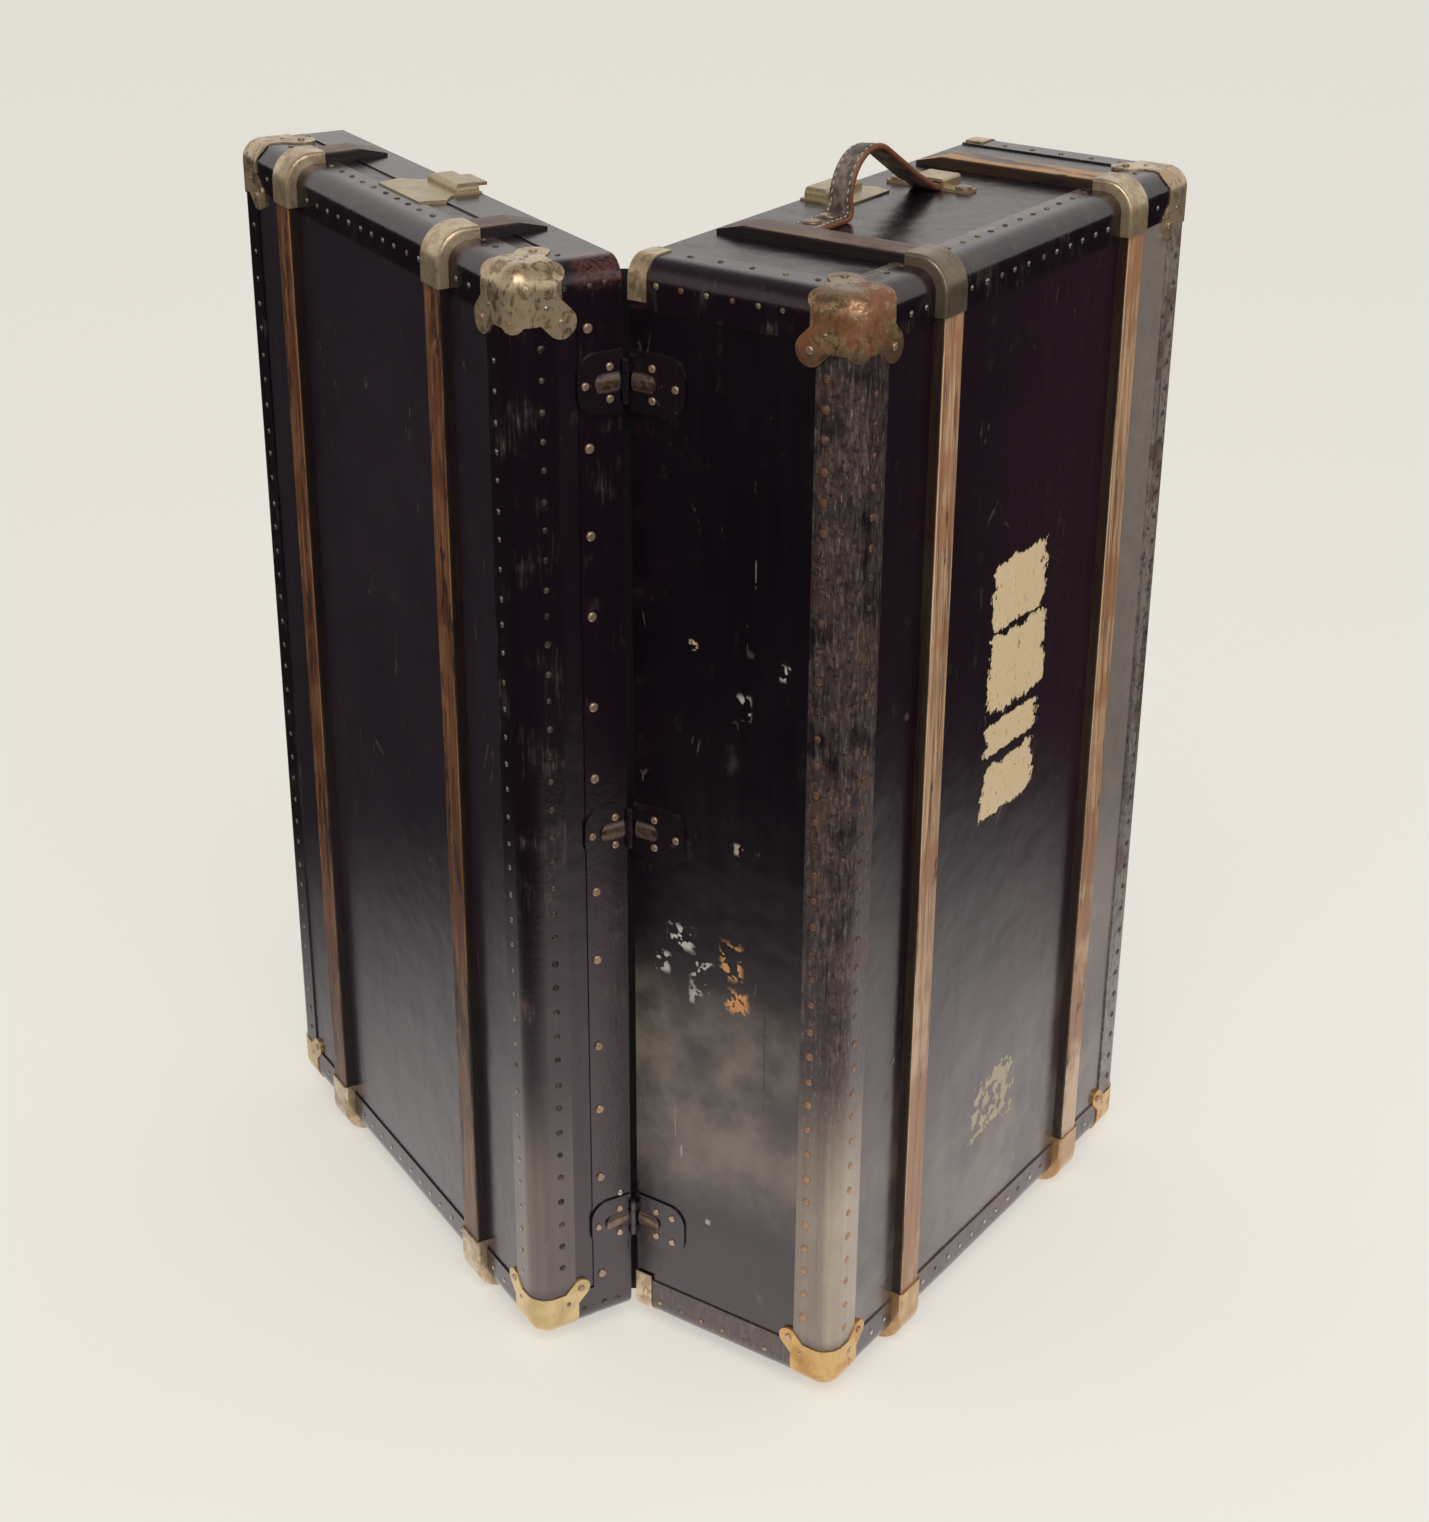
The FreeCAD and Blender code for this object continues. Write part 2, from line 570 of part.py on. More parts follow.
def hasp(size, level):
    """The swinging leaf: a knuckle on the pin and a plate that laps over onto the base."""
    half_height = size["half"]
    near = RIM + HASP_PIN_INSET
    y = hasp_seat()
    ear = half_height / 3
    inner = half_height - ear - HASP_KNUCKLE_GAP
    far = near - size["reach"]
    low = y - HASP_KNUCKLE_RADIUS
    outline = [
        (near, -inner), (far + HASP_NOSE, -inner), (far, -inner + HASP_NOSE),
        (far, inner - HASP_NOSE), (far + HASP_NOSE, inner), (near, inner),
    ]
    points = [Vector(x, low, level + z) for x, z in outline]
    leaf_plate = Part.Face(Part.makePolygon(points + points[:1])).extrude(Vector(0, HASP_METAL, 0))
    knuckle = Part.makeCylinder(HASP_KNUCKLE_RADIUS, 2 * inner, Vector(near, y, level - inner), Z_AXIS)
    bore = Part.makeCylinder(HASP_PIN_RADIUS + PIN_CLEARANCE, 2 * half_height,
                             Vector(near, y, level - half_height), Z_AXIS)
    return fused([leaf_plate, knuckle]).cut(bore)


def keeper(size, level, barrel):
    """The plate on the base that a hasp or spring catch closes over."""
    half_height = size["half"] + KEEPER_INSET
    near = RIM + KEEPER_INSET
    far = RIM + size["reach"] + KEEPER_INSET
    plate = block(near, far, FRONT, FRONT + KEEPER_METAL, level - half_height, level + half_height)
    if not barrel:
        return plate
    centre = Vector(far - LOCK_BARREL_RADIUS, FRONT + KEEPER_METAL, level - size["half"] + LOCK_BARREL_GAP)
    return fused([plate, Part.makeCylinder(LOCK_BARREL_RADIUS, LOCK_BARREL_HEIGHT, centre, Y_AXIS)])


def leaf_rivets(half):
    """The rivets of all the hinge leaves on one half: three each, but four in the base's lowest leaf."""
    seat = BACK - LEAF - (BAND if half == "lid" else 0)
    near = LEAF_RIVETS_NEAR[half]
    far = LEAF_RIVETS_FAR[half]
    spots = []
    for level in HINGE_LEVELS:
        pair = (level - LEAF_RIVET_RISE, level + LEAF_RIVET_RISE)
        spots += [(near, z) for z in pair]
        doubled = half == "base" and level == min(HINGE_LEVELS)
        spots += [(far * DOUBLED_SHARE, z) for z in pair] if doubled else [(far, level)]
    return [dome(Vector(x, seat, z), -Y_AXIS, RIVET_RADIUS, RIVET_HEIGHT) for x, z in spots]


def cap_rivets(half):
    """One rivet in each lobe of every corner cap of one half."""
    proud = BINDING + CAP
    x = outer_face(half) - LOBE_PLACE
    y = BACK + LOBE_PLACE
    z = TOP - LOBE_PLACE
    corner = [
        dome(Vector(x, BACK - proud, z), -Y_AXIS, RIVET_RADIUS, RIVET_HEIGHT),
        dome(Vector(outer_face(half) + proud, y, z), X_AXIS, RIVET_RADIUS, RIVET_HEIGHT),
        dome(Vector(x, y, TOP + proud), Z_AXIS, RIVET_RADIUS, RIVET_HEIGHT),
    ]
    top = corner + [across(r) for r in corner]
    return top + [upside_down(r) for r in top]


def band_tacks():
    """The spaced tacks down the lid's rim band on the hinge side."""
    heights = [BOTTOM + TRUNK_LENGTH * share for share in TACK_SHARES]
    clear = LEAF_HEIGHT / 2 + TACK_RADIUS
    return [
        dome(Vector(RIM + TACK_INSET, BACK - BAND, z), -Y_AXIS, TACK_RADIUS, TACK_HEIGHT)
        for z in heights if all(abs(z - level) > clear for level in HINGE_LEVELS)
    ]


def handle_studs():
    """The two broad studs in the back foot of the handle and one on each foot of the loop."""
    places = [BACK + HANDLE_START + HANDLE_BACK_FOOT * share for share in STUD_SHARES]
    spots = [Vector(HANDLE_X, y, TOP + HANDLE_THICKNESS) for y in places]
    y = loop_start() + LOOP_FOOT_LENGTH / 2
    out = HANDLE_WIDTH / 2 + LOOP_CLEARANCE + LOOP_METAL + LOOP_FOOT_REACH * LOOP_STUD_SHARE
    spots += [Vector(HANDLE_X + side * out, y, TOP + LOOP_METAL) for side in (-1, 1)]
    return [dome(spot, Z_AXIS, STUD_RADIUS, STUD_HEIGHT) for spot in spots]


def half_parts(half):
    """Every fixed piece of one half, by node name."""
    ends = end_binding(half)
    uprights = upright_binding(half)
    bindings = {
        "top_binding": ends,
        "bottom_binding": upside_down(ends),
        "back_binding": uprights,
        "front_binding": across(uprights),
    }
    obstacles = Part.makeCompound(list(bindings.values()) + ([rim_band()] if half == "lid" else []))
    parts = {"shell": shell(half), "lining": lining(half)}
    parts.update(bindings)
    for side, turn in (("back", lambda s: s), ("front", across)):
        top_cap = corner_cap(half, TOP_CAP, obstacles)
        foot_cap = corner_cap(half, FOOT_CAP, obstacles)
        parts["top_%s_cap" % side] = turn(top_cap)
        parts["bottom_%s_cap" % side] = upside_down(turn(foot_cap))
        centre = SLAT_CENTRES[side]
        parts["%s_face_slat" % side] = face_slat(half, centre, obstacles)
        end = end_slat(half, centre, obstacles)
        parts["top_%s_slat" % side] = end
        parts["bottom_%s_slat" % side] = upside_down(end)
    centres = SLAT_CENTRES.values()
    top_clamps = [slat_clamp(half, y, TOP_CLAMP_LEG, obstacles) for y in centres]
    foot_clamps = [upside_down(slat_clamp(half, y, FOOT_CLAMP_LEG, obstacles)) for y in centres]
    parts["top_clamps"] = Part.makeCompound(top_clamps)
    parts["bottom_clamps"] = Part.makeCompound(foot_clamps)
    for name, level in zip(("lower", "middle", "upper"), HINGE_LEVELS):
        parts["%s_hinge_leaf" % name] = leaf(half, level, knuckle_spans(half))
    return {"%s_%s" % (half, name): shape for name, shape in parts.items()}


def base_parts():
    """Every node of the base."""
    parts = half_parts("base")
    irons = [rim_iron(TOP_IRON_LEG), upside_down(rim_iron(FOOT_IRON_LEG))]
    parts["base_rim_irons"] = Part.makeCompound(irons + [across(i) for i in irons])
    parts["base_tongue"] = tongue()
    parts["hinge_pins"] = Part.makeCompound([hinge_pin(level) for level in HINGE_LEVELS])
    parts["handle_strap"] = handle_strap()
    parts["handle_loop"] = handle_loop()
    parts["base_end_catch"] = base_catch()
    parts["lock_plate"] = keeper(HASP, WAIST, True)
    parts["catch_keepers"] = Part.makeCompound([keeper(SIDE_CATCH, z, False) for z in SIDE_LEVELS])
    fasteners = leaf_rivets("base") + cap_rivets("base") + handle_studs()
    parts["base_rivets"] = Part.makeCompound(fasteners)
    return parts


def lid_parts():
    """Every node that swings with the lid, drawn on the base's side of the rim plane."""
    parts = half_parts("lid")
    band = rim_band()
    parts["lid_rim_band"] = band
    parts["lid_end_catch"] = lid_catch(Part.makeCompound([band, parts["lid_top_binding"]]))
    parts["hasp_plate"] = hasp_plate(HASP, WAIST, band)
    parts["catch_plates"] = Part.makeCompound([hasp_plate(SIDE_CATCH, z, band) for z in SIDE_LEVELS])
    parts["hasp"] = hasp(HASP, WAIST)
    parts["lower_catch"] = hasp(SIDE_CATCH, SIDE_LEVELS[0])
    parts["upper_catch"] = hasp(SIDE_CATCH, SIDE_LEVELS[1])
    parts["lid_rivets"] = Part.makeCompound(leaf_rivets("lid") + cap_rivets("lid") + band_tacks())
    return parts


def swung_open(shape):
    """A piece of the lid, moved from the base's side of the rim plane to the open lid."""
    opened = shape.mirror(ORIGIN, X_AXIS)
    opened.rotate(ORIGIN, Z_AXIS, OPEN_ANGLE)
    return opened


def main():
    """Build every node, stand the trunk with its origin below its middle, and save it."""
    os.makedirs("parts", exist_ok=True)
    parts = base_parts()
    parts.update({name: swung_open(shape) for name, shape in lid_parts().items()})
    box = FreeCAD.BoundBox()
    for shape in parts.values():
        box.add(shape.optimalBoundingBox(False, False))
    shift = Vector(-box.Center.x, -box.Center.y, -box.ZMin)
    for name, shape in sorted(parts.items()):
        shape.translate(shift)
        shape.exportStep("parts/%s.step" % name)
        print(name, len(shape.Solids), shape.isValid(), round(shape.Volume))
    print("hinge axis at", tuple(shift), "size", box.XLength, box.YLength, box.ZLength)


main()
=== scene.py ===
import json
import math
import random
from functools import reduce

import bmesh
import bpy
from mathutils import Matrix, Vector

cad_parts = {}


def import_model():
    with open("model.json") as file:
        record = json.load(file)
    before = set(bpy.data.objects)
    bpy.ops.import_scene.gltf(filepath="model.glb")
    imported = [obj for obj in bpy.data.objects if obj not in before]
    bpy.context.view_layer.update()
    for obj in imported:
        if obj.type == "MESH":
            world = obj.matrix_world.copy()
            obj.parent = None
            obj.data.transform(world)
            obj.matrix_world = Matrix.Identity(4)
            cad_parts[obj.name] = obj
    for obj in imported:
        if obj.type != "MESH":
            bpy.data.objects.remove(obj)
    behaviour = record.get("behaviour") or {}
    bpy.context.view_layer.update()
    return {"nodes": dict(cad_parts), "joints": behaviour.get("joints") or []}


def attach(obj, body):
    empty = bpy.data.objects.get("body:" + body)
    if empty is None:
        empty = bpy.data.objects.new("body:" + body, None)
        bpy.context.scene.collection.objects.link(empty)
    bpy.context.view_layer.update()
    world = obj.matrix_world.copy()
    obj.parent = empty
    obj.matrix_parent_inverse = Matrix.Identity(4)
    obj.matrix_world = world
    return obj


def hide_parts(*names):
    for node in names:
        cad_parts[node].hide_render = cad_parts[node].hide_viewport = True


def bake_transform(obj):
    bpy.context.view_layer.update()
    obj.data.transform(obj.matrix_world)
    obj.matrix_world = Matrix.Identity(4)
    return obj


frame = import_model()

# Sizes in millimetres. Each half is described in the shut trunk: the hinge pins lie on the Z axis,
# the halves meet at x = 0, x grows into the half, y runs from the hinge side to the lock side.
MM = 0.001
LENGTH = 914.0
WIDTH = 506.0
DEPTHS = {"base": 194.5, "lid": 88.5}
HALVES = ("base", "lid")
OPEN_ANGLE = math.radians(65.6)
RIM = 0.5
FACES = {half: RIM + depth for half, depth in DEPTHS.items()}
BACK = 5.0
FRONT = BACK + WIDTH
MIDDLE = BACK + WIDTH / 2
BOTTOM = 10.5
TOP = BOTTOM + LENGTH
BINDING = 1.5
BAND = 1.2
BAND_WIDTH = 36.0
CAP_METAL = 1.2
HINGE_LEAF = 1.8
SLAT_WIDTH = 28.0
SLAT_INSET = 96.5
SLAT_CENTRES = (BACK + SLAT_INSET + SLAT_WIDTH / 2, FRONT - SLAT_INSET - SLAT_WIDTH / 2)
HANDLE_X = RIM + 59.0
X, Y, Z = (1, 0, 0), (0, 1, 0), (0, 0, 1)
TO_BACK = (0, -1, 0)

random.seed(11)
hinge = next(j for j in frame["joints"] if j["name"] == "lid_hinge")["pos_m"]
HINGE = Vector((hinge[0], hinge[1], 0.0))
PLACE = {
    "base": Matrix.Translation(HINGE) @ Matrix.Scale(MM, 4),
    "lid": Matrix.Translation(HINGE) @ Matrix.Rotation(OPEN_ANGLE, 4, "Z")
    @ Matrix.Scale(-1, 4, Vector((1, 0, 0))) @ Matrix.Scale(MM, 4),
}


# ---------------------------------------------------------------- node trees


class Nodes:
    """Writes the nodes of one tree. A value is a number, a colour or another node's output."""

    def __init__(self, tree):
        self.tree = tree

    def node(self, kind, **settings):
        made = self.tree.nodes.new(kind)
        for key, value in settings.items():
            setattr(made, key, value)
        return made

    def feed(self, socket, value):
        """Links a socket to an output, or sets it. A colour of three numbers gets its alpha."""
        if isinstance(value, bpy.types.NodeSocket):
            self.tree.links.new(value, socket)
        elif isinstance(value, tuple) and len(value) < len(socket.default_value):
            socket.default_value = (*value, 1.0)
        else:
            socket.default_value = value

    def calc(self, operation, first, second=0.0):
        made = self.node("ShaderNodeMath", operation=operation)
        self.feed(made.inputs[0], first)
        self.feed(made.inputs[1], second)
        return made.outputs[0]

    def add(self, *values):
        return reduce(lambda first, second: self.calc("ADD", first, second), values)

    def times(self, *values):
        return reduce(lambda first, second: self.calc("MULTIPLY", first, second), values)

    def weighed(self, *pairs):
        """The sum of some values, each times its weight."""
        return self.add(*(self.times(value, weight) for value, weight in pairs))

    def dot(self, vector, direction):
        made = self.node("ShaderNodeVectorMath", operation="DOT_PRODUCT")
        self.feed(made.inputs[0], vector)
        made.inputs[1].default_value = direction
        return made.outputs["Value"]

    def map_range(self, value, source, target, curve):
        """The part of a value that lies in one range, moved to another and held inside it."""
        made = self.node("ShaderNodeMapRange", interpolation_type=curve)
        self.feed(made.inputs["Value"], value)
        for name, number in zip(("From Min", "From Max", "To Min", "To Max"), (*source, *target)):
            made.inputs[name].default_value = number
        return made.outputs[0]

    def step(self, value, low, high):
        """0 below low, 1 above high, smooth between them. Low may lie above high."""
        target = (0.0, 1.0) if low < high else (1.0, 0.0)
        return self.map_range(value, (min(low, high), max(low, high)), target, "SMOOTHSTEP")

    def spread(self, value, low, high):
        """Values from 0 to 1 spread from low to high."""
        return self.map_range(value, (0.0, 1.0), (low, high), "LINEAR")

    def mix(self, factor, first, second):
        made = self.node("ShaderNodeMix", data_type="RGBA")
        self.feed(made.inputs["Factor"], factor)
        self.feed(made.inputs[6], first)
        self.feed(made.inputs[7], second)
        return made.outputs[2]


class Shade(Nodes):
    """A material. Its sizes and places are the millimetres of the shut trunk.

    Noise and cells are made at one size, or at a size along each axis, and steps pick out a part
    of them: the two numbers beside a noise in a step are where that part starts and is full.
    """

    def __init__(self, name, half=None, **constants):
        self.material = bpy.data.materials.new(name)
        self.material.use_nodes = True
        super().__init__(self.material.node_tree)
        self.tree.nodes.clear()
        self.out = self.node("ShaderNodeOutputMaterial")
        self.bsdf = self.node("ShaderNodeBsdfPrincipled")
        self.feed(self.out.inputs["Surface"], self.bsdf.outputs[0])
        for key, value in constants.items():
            self.feed(self.bsdf.inputs[key.replace("_", " ")], value)
        coordinates = self.node("ShaderNodeTexCoord")
        self.normal = coordinates.outputs["Normal"]
        self.object = coordinates.outputs["Object"]
        opened, mirror = (OPEN_ANGLE, -1) if half == "lid" else (0.0, 1)
        self.turn = Matrix.Rotation(opened, 3, "Z")
        place = self.node("ShaderNodeMapping", vector_type="TEXTURE")
        place.inputs["Location"].default_value = HINGE
        place.inputs["Rotation"].default_value = (0, 0, opened)
        place.inputs["Scale"].default_value = (mirror * MM, MM, MM)
        self.feed(place.inputs["Vector"], self.object)
        self.place = place.outputs["Vector"]
        split = self.node("ShaderNodeSeparateXYZ")
        self.feed(split.inputs[0], self.place)
        self.x, self.y, self.z = split.outputs

    def texture(self, kind, size, **settings):
        """A texture node at a size in millimetres, or at a size along each axis."""
        made = self.node(kind, **settings)
        if isinstance(size, tuple):
            mapping = self.node("ShaderNodeMapping")
            self.feed(mapping.inputs["Vector"], self.place)
            mapping.inputs["Scale"].default_value = tuple(1 / length for length in size)
            self.feed(made.inputs["Vector"], mapping.outputs[0])
            made.inputs["Scale"].default_value = 1.0
        else:
            self.feed(made.inputs["Vector"], self.place)
            made.inputs["Scale"].default_value = 1 / size
        return made

    def noise(self, size, detail=3.0, roughness=0.5, distortion=0.0):
        made = self.texture("ShaderNodeTexNoise", size)
        made.inputs["Detail"].default_value = detail
        made.inputs["Roughness"].default_value = roughness
        made.inputs["Distortion"].default_value = distortion
        return made.outputs["Fac"]

    def cells(self, size, feature):
        return self.texture("ShaderNodeTexVoronoi", size, feature=feature).outputs["Distance"]

    def facing(self, axis):
        """How squarely a face looks along one axis of its half, from 0 to 1."""
        return self.calc("ABSOLUTE", self.dot(self.normal, self.turn @ Vector(axis)))

    def away(self, along, centre):
        """How far a place is from a centre along an axis."""
        return self.calc("ABSOLUTE", self.calc("SUBTRACT", along, centre))

    def near(self, along, centre, reach):
        """1 at the centre of a stretch along an axis, fading to 0 at its ends."""
        return self.step(self.away(along, centre), reach, reach * 0.5)

    def tint(self, colour, tone, *shares):
        """A colour turned towards a tone where the shares, multiplied, say so."""
        return self.mix(self.times(*shares), colour, tone)

    def relief(self, height, depth):
        """A bump whose full height is that many millimetres."""
        made = self.node("ShaderNodeBump")
        made.inputs["Distance"].default_value = depth * MM
        self.feed(made.inputs["Height"], height)
        return made.outputs[0]

    def finish(self, colour, roughness=None, normal=None, metal=None):
        values = {"Base Color": colour, "Roughness": roughness, "Normal": normal, "Metallic": metal}
        for name, value in values.items():
            if value is not None:
                self.feed(self.bsdf.inputs[name], value)
        return self.material


# ---------------------------------------------------------------- board

VARNISH = {"IOR": 1.85, "Specular_Tint": (1.0, 0.87, 0.91)}
BLACK = (0.0068, 0.0025, 0.0060)
BOARD_TONES = {"base": ((0.0022, 0.0005, 0.0032), BLACK),
               "lid": ((0.0190, 0.0128, 0.0205), (0.0280, 0.0195, 0.0290))}
RED_BROWN = (0.0225, 0.0080, 0.0160)
SCUFF = (0.045, 0.030, 0.028)
HAIRLINE = (0.040, 0.024, 0.026)
SCRATCH = (0.12, 0.095, 0.085)
# Tone of a paler strip on the broad face beyond the far slat.
PALE_STRIP = (0.270, 0.232, 0.210)
# Tone of the painted reflection of the pale floor, low on the base's back and broad face.
FLOOR_SHEEN = (0.275, 0.228, 0.180)
CREAM = (0.74, 0.575, 0.355)
RESIDUE = (0.34, 0.27, 0.13)
# From where to where each layer grows along x, y or z.
HINGE_SIDE_Y = (BACK + 4, BACK + 2)
BROAD_FACE_X = (FACES["base"] - 4.5, FACES["base"] - 2.5)
RED_BROWN_Y = (BACK + 130, BACK + 330)
PALE_STRIP_Y = (SLAT_CENTRES[1] + 16, SLAT_CENTRES[1] + 30)
PALE_STRIP_Z = (120, 300)
SHEEN_BROAD_Z = (310, 110)
# Centre and reach along z.
SHEEN_BACK_Z = (250, 125)
# Chips on the hinge side: x, height, reach along x and up, how much is lost, the ground they show.
CHIPS = (
    (46, 379, 15, 13, 0.53, (0.52, 0.50, 0.47)),
    (66, 352, 14, 18, 0.56, (0.46, 0.44, 0.41)),
    (94, 372, 13, 20, 0.52, (0.60, 0.30, 0.10)),
    (99, 337, 14, 13, 0.50, (0.62, 0.27, 0.08)),
    (28, 352, 9, 12, 0.54, (0.50, 0.47, 0.44)),
    (60, 330, 8, 9, 0.54, (0.42, 0.38, 0.35)),
    (100, 472, 6, 6, 0.50, (0.42, 0.34, 0.28)),
    (103, 592, 8, 12, 0.54, (0.40, 0.37, 0.33)),
    (57, 631, 5, 5, 0.48, (0.50, 0.40, 0.20)),
    (139, 628, 6, 8, 0.52, (0.40, 0.37, 0.33)),
    (112, 700, 0.7, 14, 0.48, (0.16, 0.13, 0.12)),
    (40, 205, 0.6, 20, 0.46, (0.26, 0.23, 0.22)),
    (46, 178, 0.9, 7, 0.42, (0.42, 0.39, 0.36)),
    (73, 118, 3, 3, 0.44, (0.42, 0.38, 0.34)),
    (126, 300, 0.5, 70, 0.40, (0.002, 0.001, 0.001)),
)
CHIP_EDGE = 0.015
# Patches of cream paint on the broad face: y, height, half width, half height.
PAINT = ((256, 630, 46, 30), (258, 564, 48, 36), (256, 508, 46, 15), (252, 462, 44, 25))
PAINT_FADE = 1.35
# The residue of a label: centre and reach along y, then along z.
RESIDUE_Y = (262, 50)
RESIDUE_Z = (BOTTOM + 150, 42)


def board(half):
    """Black varnish over board, with scuffs and scratches; on the base much more wear, and painted
    floor reflection low down.
    """
    s = Shade("%s_board" % half, half, **VARNISH)
    broad = s.noise(160, 4, 0.6)
    mottled = s.noise(22, 5, 0.6)
    streaks = s.noise((14, 14, 150), 4, 0.65)
    fine = s.noise((1.5, 1.5, 30), 3, 0.7)
    scratches = s.times(s.step(s.cells((38, 30, 120), "DISTANCE_TO_EDGE"), 0.018, 0.006),
                        s.step(s.noise(26, 3, 0.6), 0.60, 0.68))
    on_broad = s.step(s.facing(X), 0.6, 0.8)
    colour = s.mix(s.step(broad, 0.35, 0.7), *BOARD_TONES[half])
    if half == "base":
        colour = s.tint(colour, RED_BROWN, on_broad, s.spread(s.step(s.y, *RED_BROWN_Y), 0.45, 1.0),
                        s.spread(broad, 0.6, 1.0))
    else:
        colour = s.mix(on_broad, BLACK, colour)
    scuff = s.times(s.step(mottled, 0.56, 0.80), s.step(streaks, 0.45, 0.68))
    colour = s.tint(colour, SCUFF, scuff, 0.6)
    colour = s.tint(colour, HAIRLINE, s.step(fine, 0.58, 0.80), 0.15)
    colour = s.tint(colour, SCRATCH, scratches, 0.5)
    if half == "base":
        flecks = s.noise(8, 3, 0.55)
        # Painted floor reflection low on two sides, and a paler strip on the broad face.
        colour = painted_sheen(s, colour, on_broad, mottled)
        colour = chipped(s, colour, flecks)
        colour = painted(s, colour, flecks)
    rough = s.add(s.spread(streaks, 0.15, 0.34), s.times(scuff, 0.25))
    height = s.weighed((s.noise(1.1, 2, 0.5), 0.10), (scratches, -0.4), (s.noise(45, 2), 3.0))
    return s.finish(colour, rough, s.relief(height, 0.35))


def painted_sheen(s, colour, on_broad, mottled):
    """A paler strip beyond the far slat, and patchy painted reflection of the pale floor low on two
    sides.
    """
    colour = s.tint(colour, PALE_STRIP, s.step(s.y, *PALE_STRIP_Y), on_broad, s.step(s.z, *PALE_STRIP_Z),
                    s.spread(mottled, 0.6, 1.0))
    # Painted reflection of the pale floor: its share on the back and on the broad face.
    sheen_back = s.times(s.step(s.facing(Y), 0.6, 0.8), s.near(s.z, *SHEEN_BACK_Z))
    sheen_broad = s.times(on_broad, s.step(s.z, *SHEEN_BROAD_Z))
    clouds = s.spread(s.step(s.noise(80, 5, 0.62), 0.36, 0.66), 0.35, 1.35)
    return s.tint(colour, FLOOR_SHEEN, s.weighed((sheen_back, 0.46), (sheen_broad, 0.36)), clouds)


def chipped(s, colour, flecks):
    """Chips, and a few long scratches, on the hinge side."""
    on_back = s.step(s.y, *HINGE_SIDE_Y)
    for x, z, wide, high, lost, ground_tone in CHIPS:
        colour = s.tint(colour, ground_tone, on_back, s.near(s.x, x, wide),
                        s.near(s.z, BOTTOM + z, high), s.step(flecks, lost, lost + CHIP_EDGE))
    return colour


def painted(s, colour, flecks):
    """Much worn patches of cream paint, and what is left of a label, on the broad face."""
    on_face = s.step(s.x, *BROAD_FACE_X)
    ragged = s.noise((16, 18, 14), 6, 0.72)
    rubbed = s.noise((3, 3, 9), 4, 0.6)
    for y, z, wide, high in PAINT:
        patch = s.times(s.near(s.y, y, wide * PAINT_FADE),
                        s.near(s.z, BOTTOM + z, high * PAINT_FADE), on_face)
        wear = s.weighed((ragged, 0.7), (rubbed, 0.3), (patch, 0.38))
        colour = s.tint(colour, CREAM, s.step(patch, 0.02, 0.10), s.step(wear, 0.75, 0.77),
                        s.spread(s.step(rubbed, 0.60, 0.68), 1.0, 0.55))
    label = s.times(on_face, s.near(s.y, *RESIDUE_Y), s.near(s.z, *RESIDUE_Z))
    wear = s.weighed((ragged, 0.5), (flecks, 0.5), (label, 0.16))
    return s.tint(colour, RESIDUE, s.step(label, 0.02, 0.2), s.step(wear, 0.64, 0.67))


# ---------------------------------------------------------------- fibre

FIBRE = (0.044, 0.031, 0.030)
GREYED_FIBRE = (0.235, 0.205, 0.180)
FIBRE_BROWN = (0.080, 0.036, 0.024)
FIBRE_SPOT = (0.13, 0.090, 0.072)
# Tone of pale gouges in the fibre, which are partly painted glints.
GOUGE_AND_GLINT = (0.28, 0.235, 0.205)
FRAYED = (0.150, 0.112, 0.088)
RUBBED_RED = (0.13, 0.045, 0.030)
# Tone of the painted reflection of the pale floor, low on the worn bindings.
FIBRE_SHEEN = (0.44, 0.360, 0.275)
CUT_EDGE, CUT_EDGE_REACH = 32, 9
# Centre and reach of the lid's rubbed corner along each axis.
CORNER_X, CORNER_Y, CORNER_Z = (10, 34), (BACK, 30), (TOP, 22)
# Where the painted floor reflection starts and is full, along z.
SHEEN_FROM = {"base": (330, 170), "lid": (270, 150)}
FOOT_CAP_TOP = (42, 60)


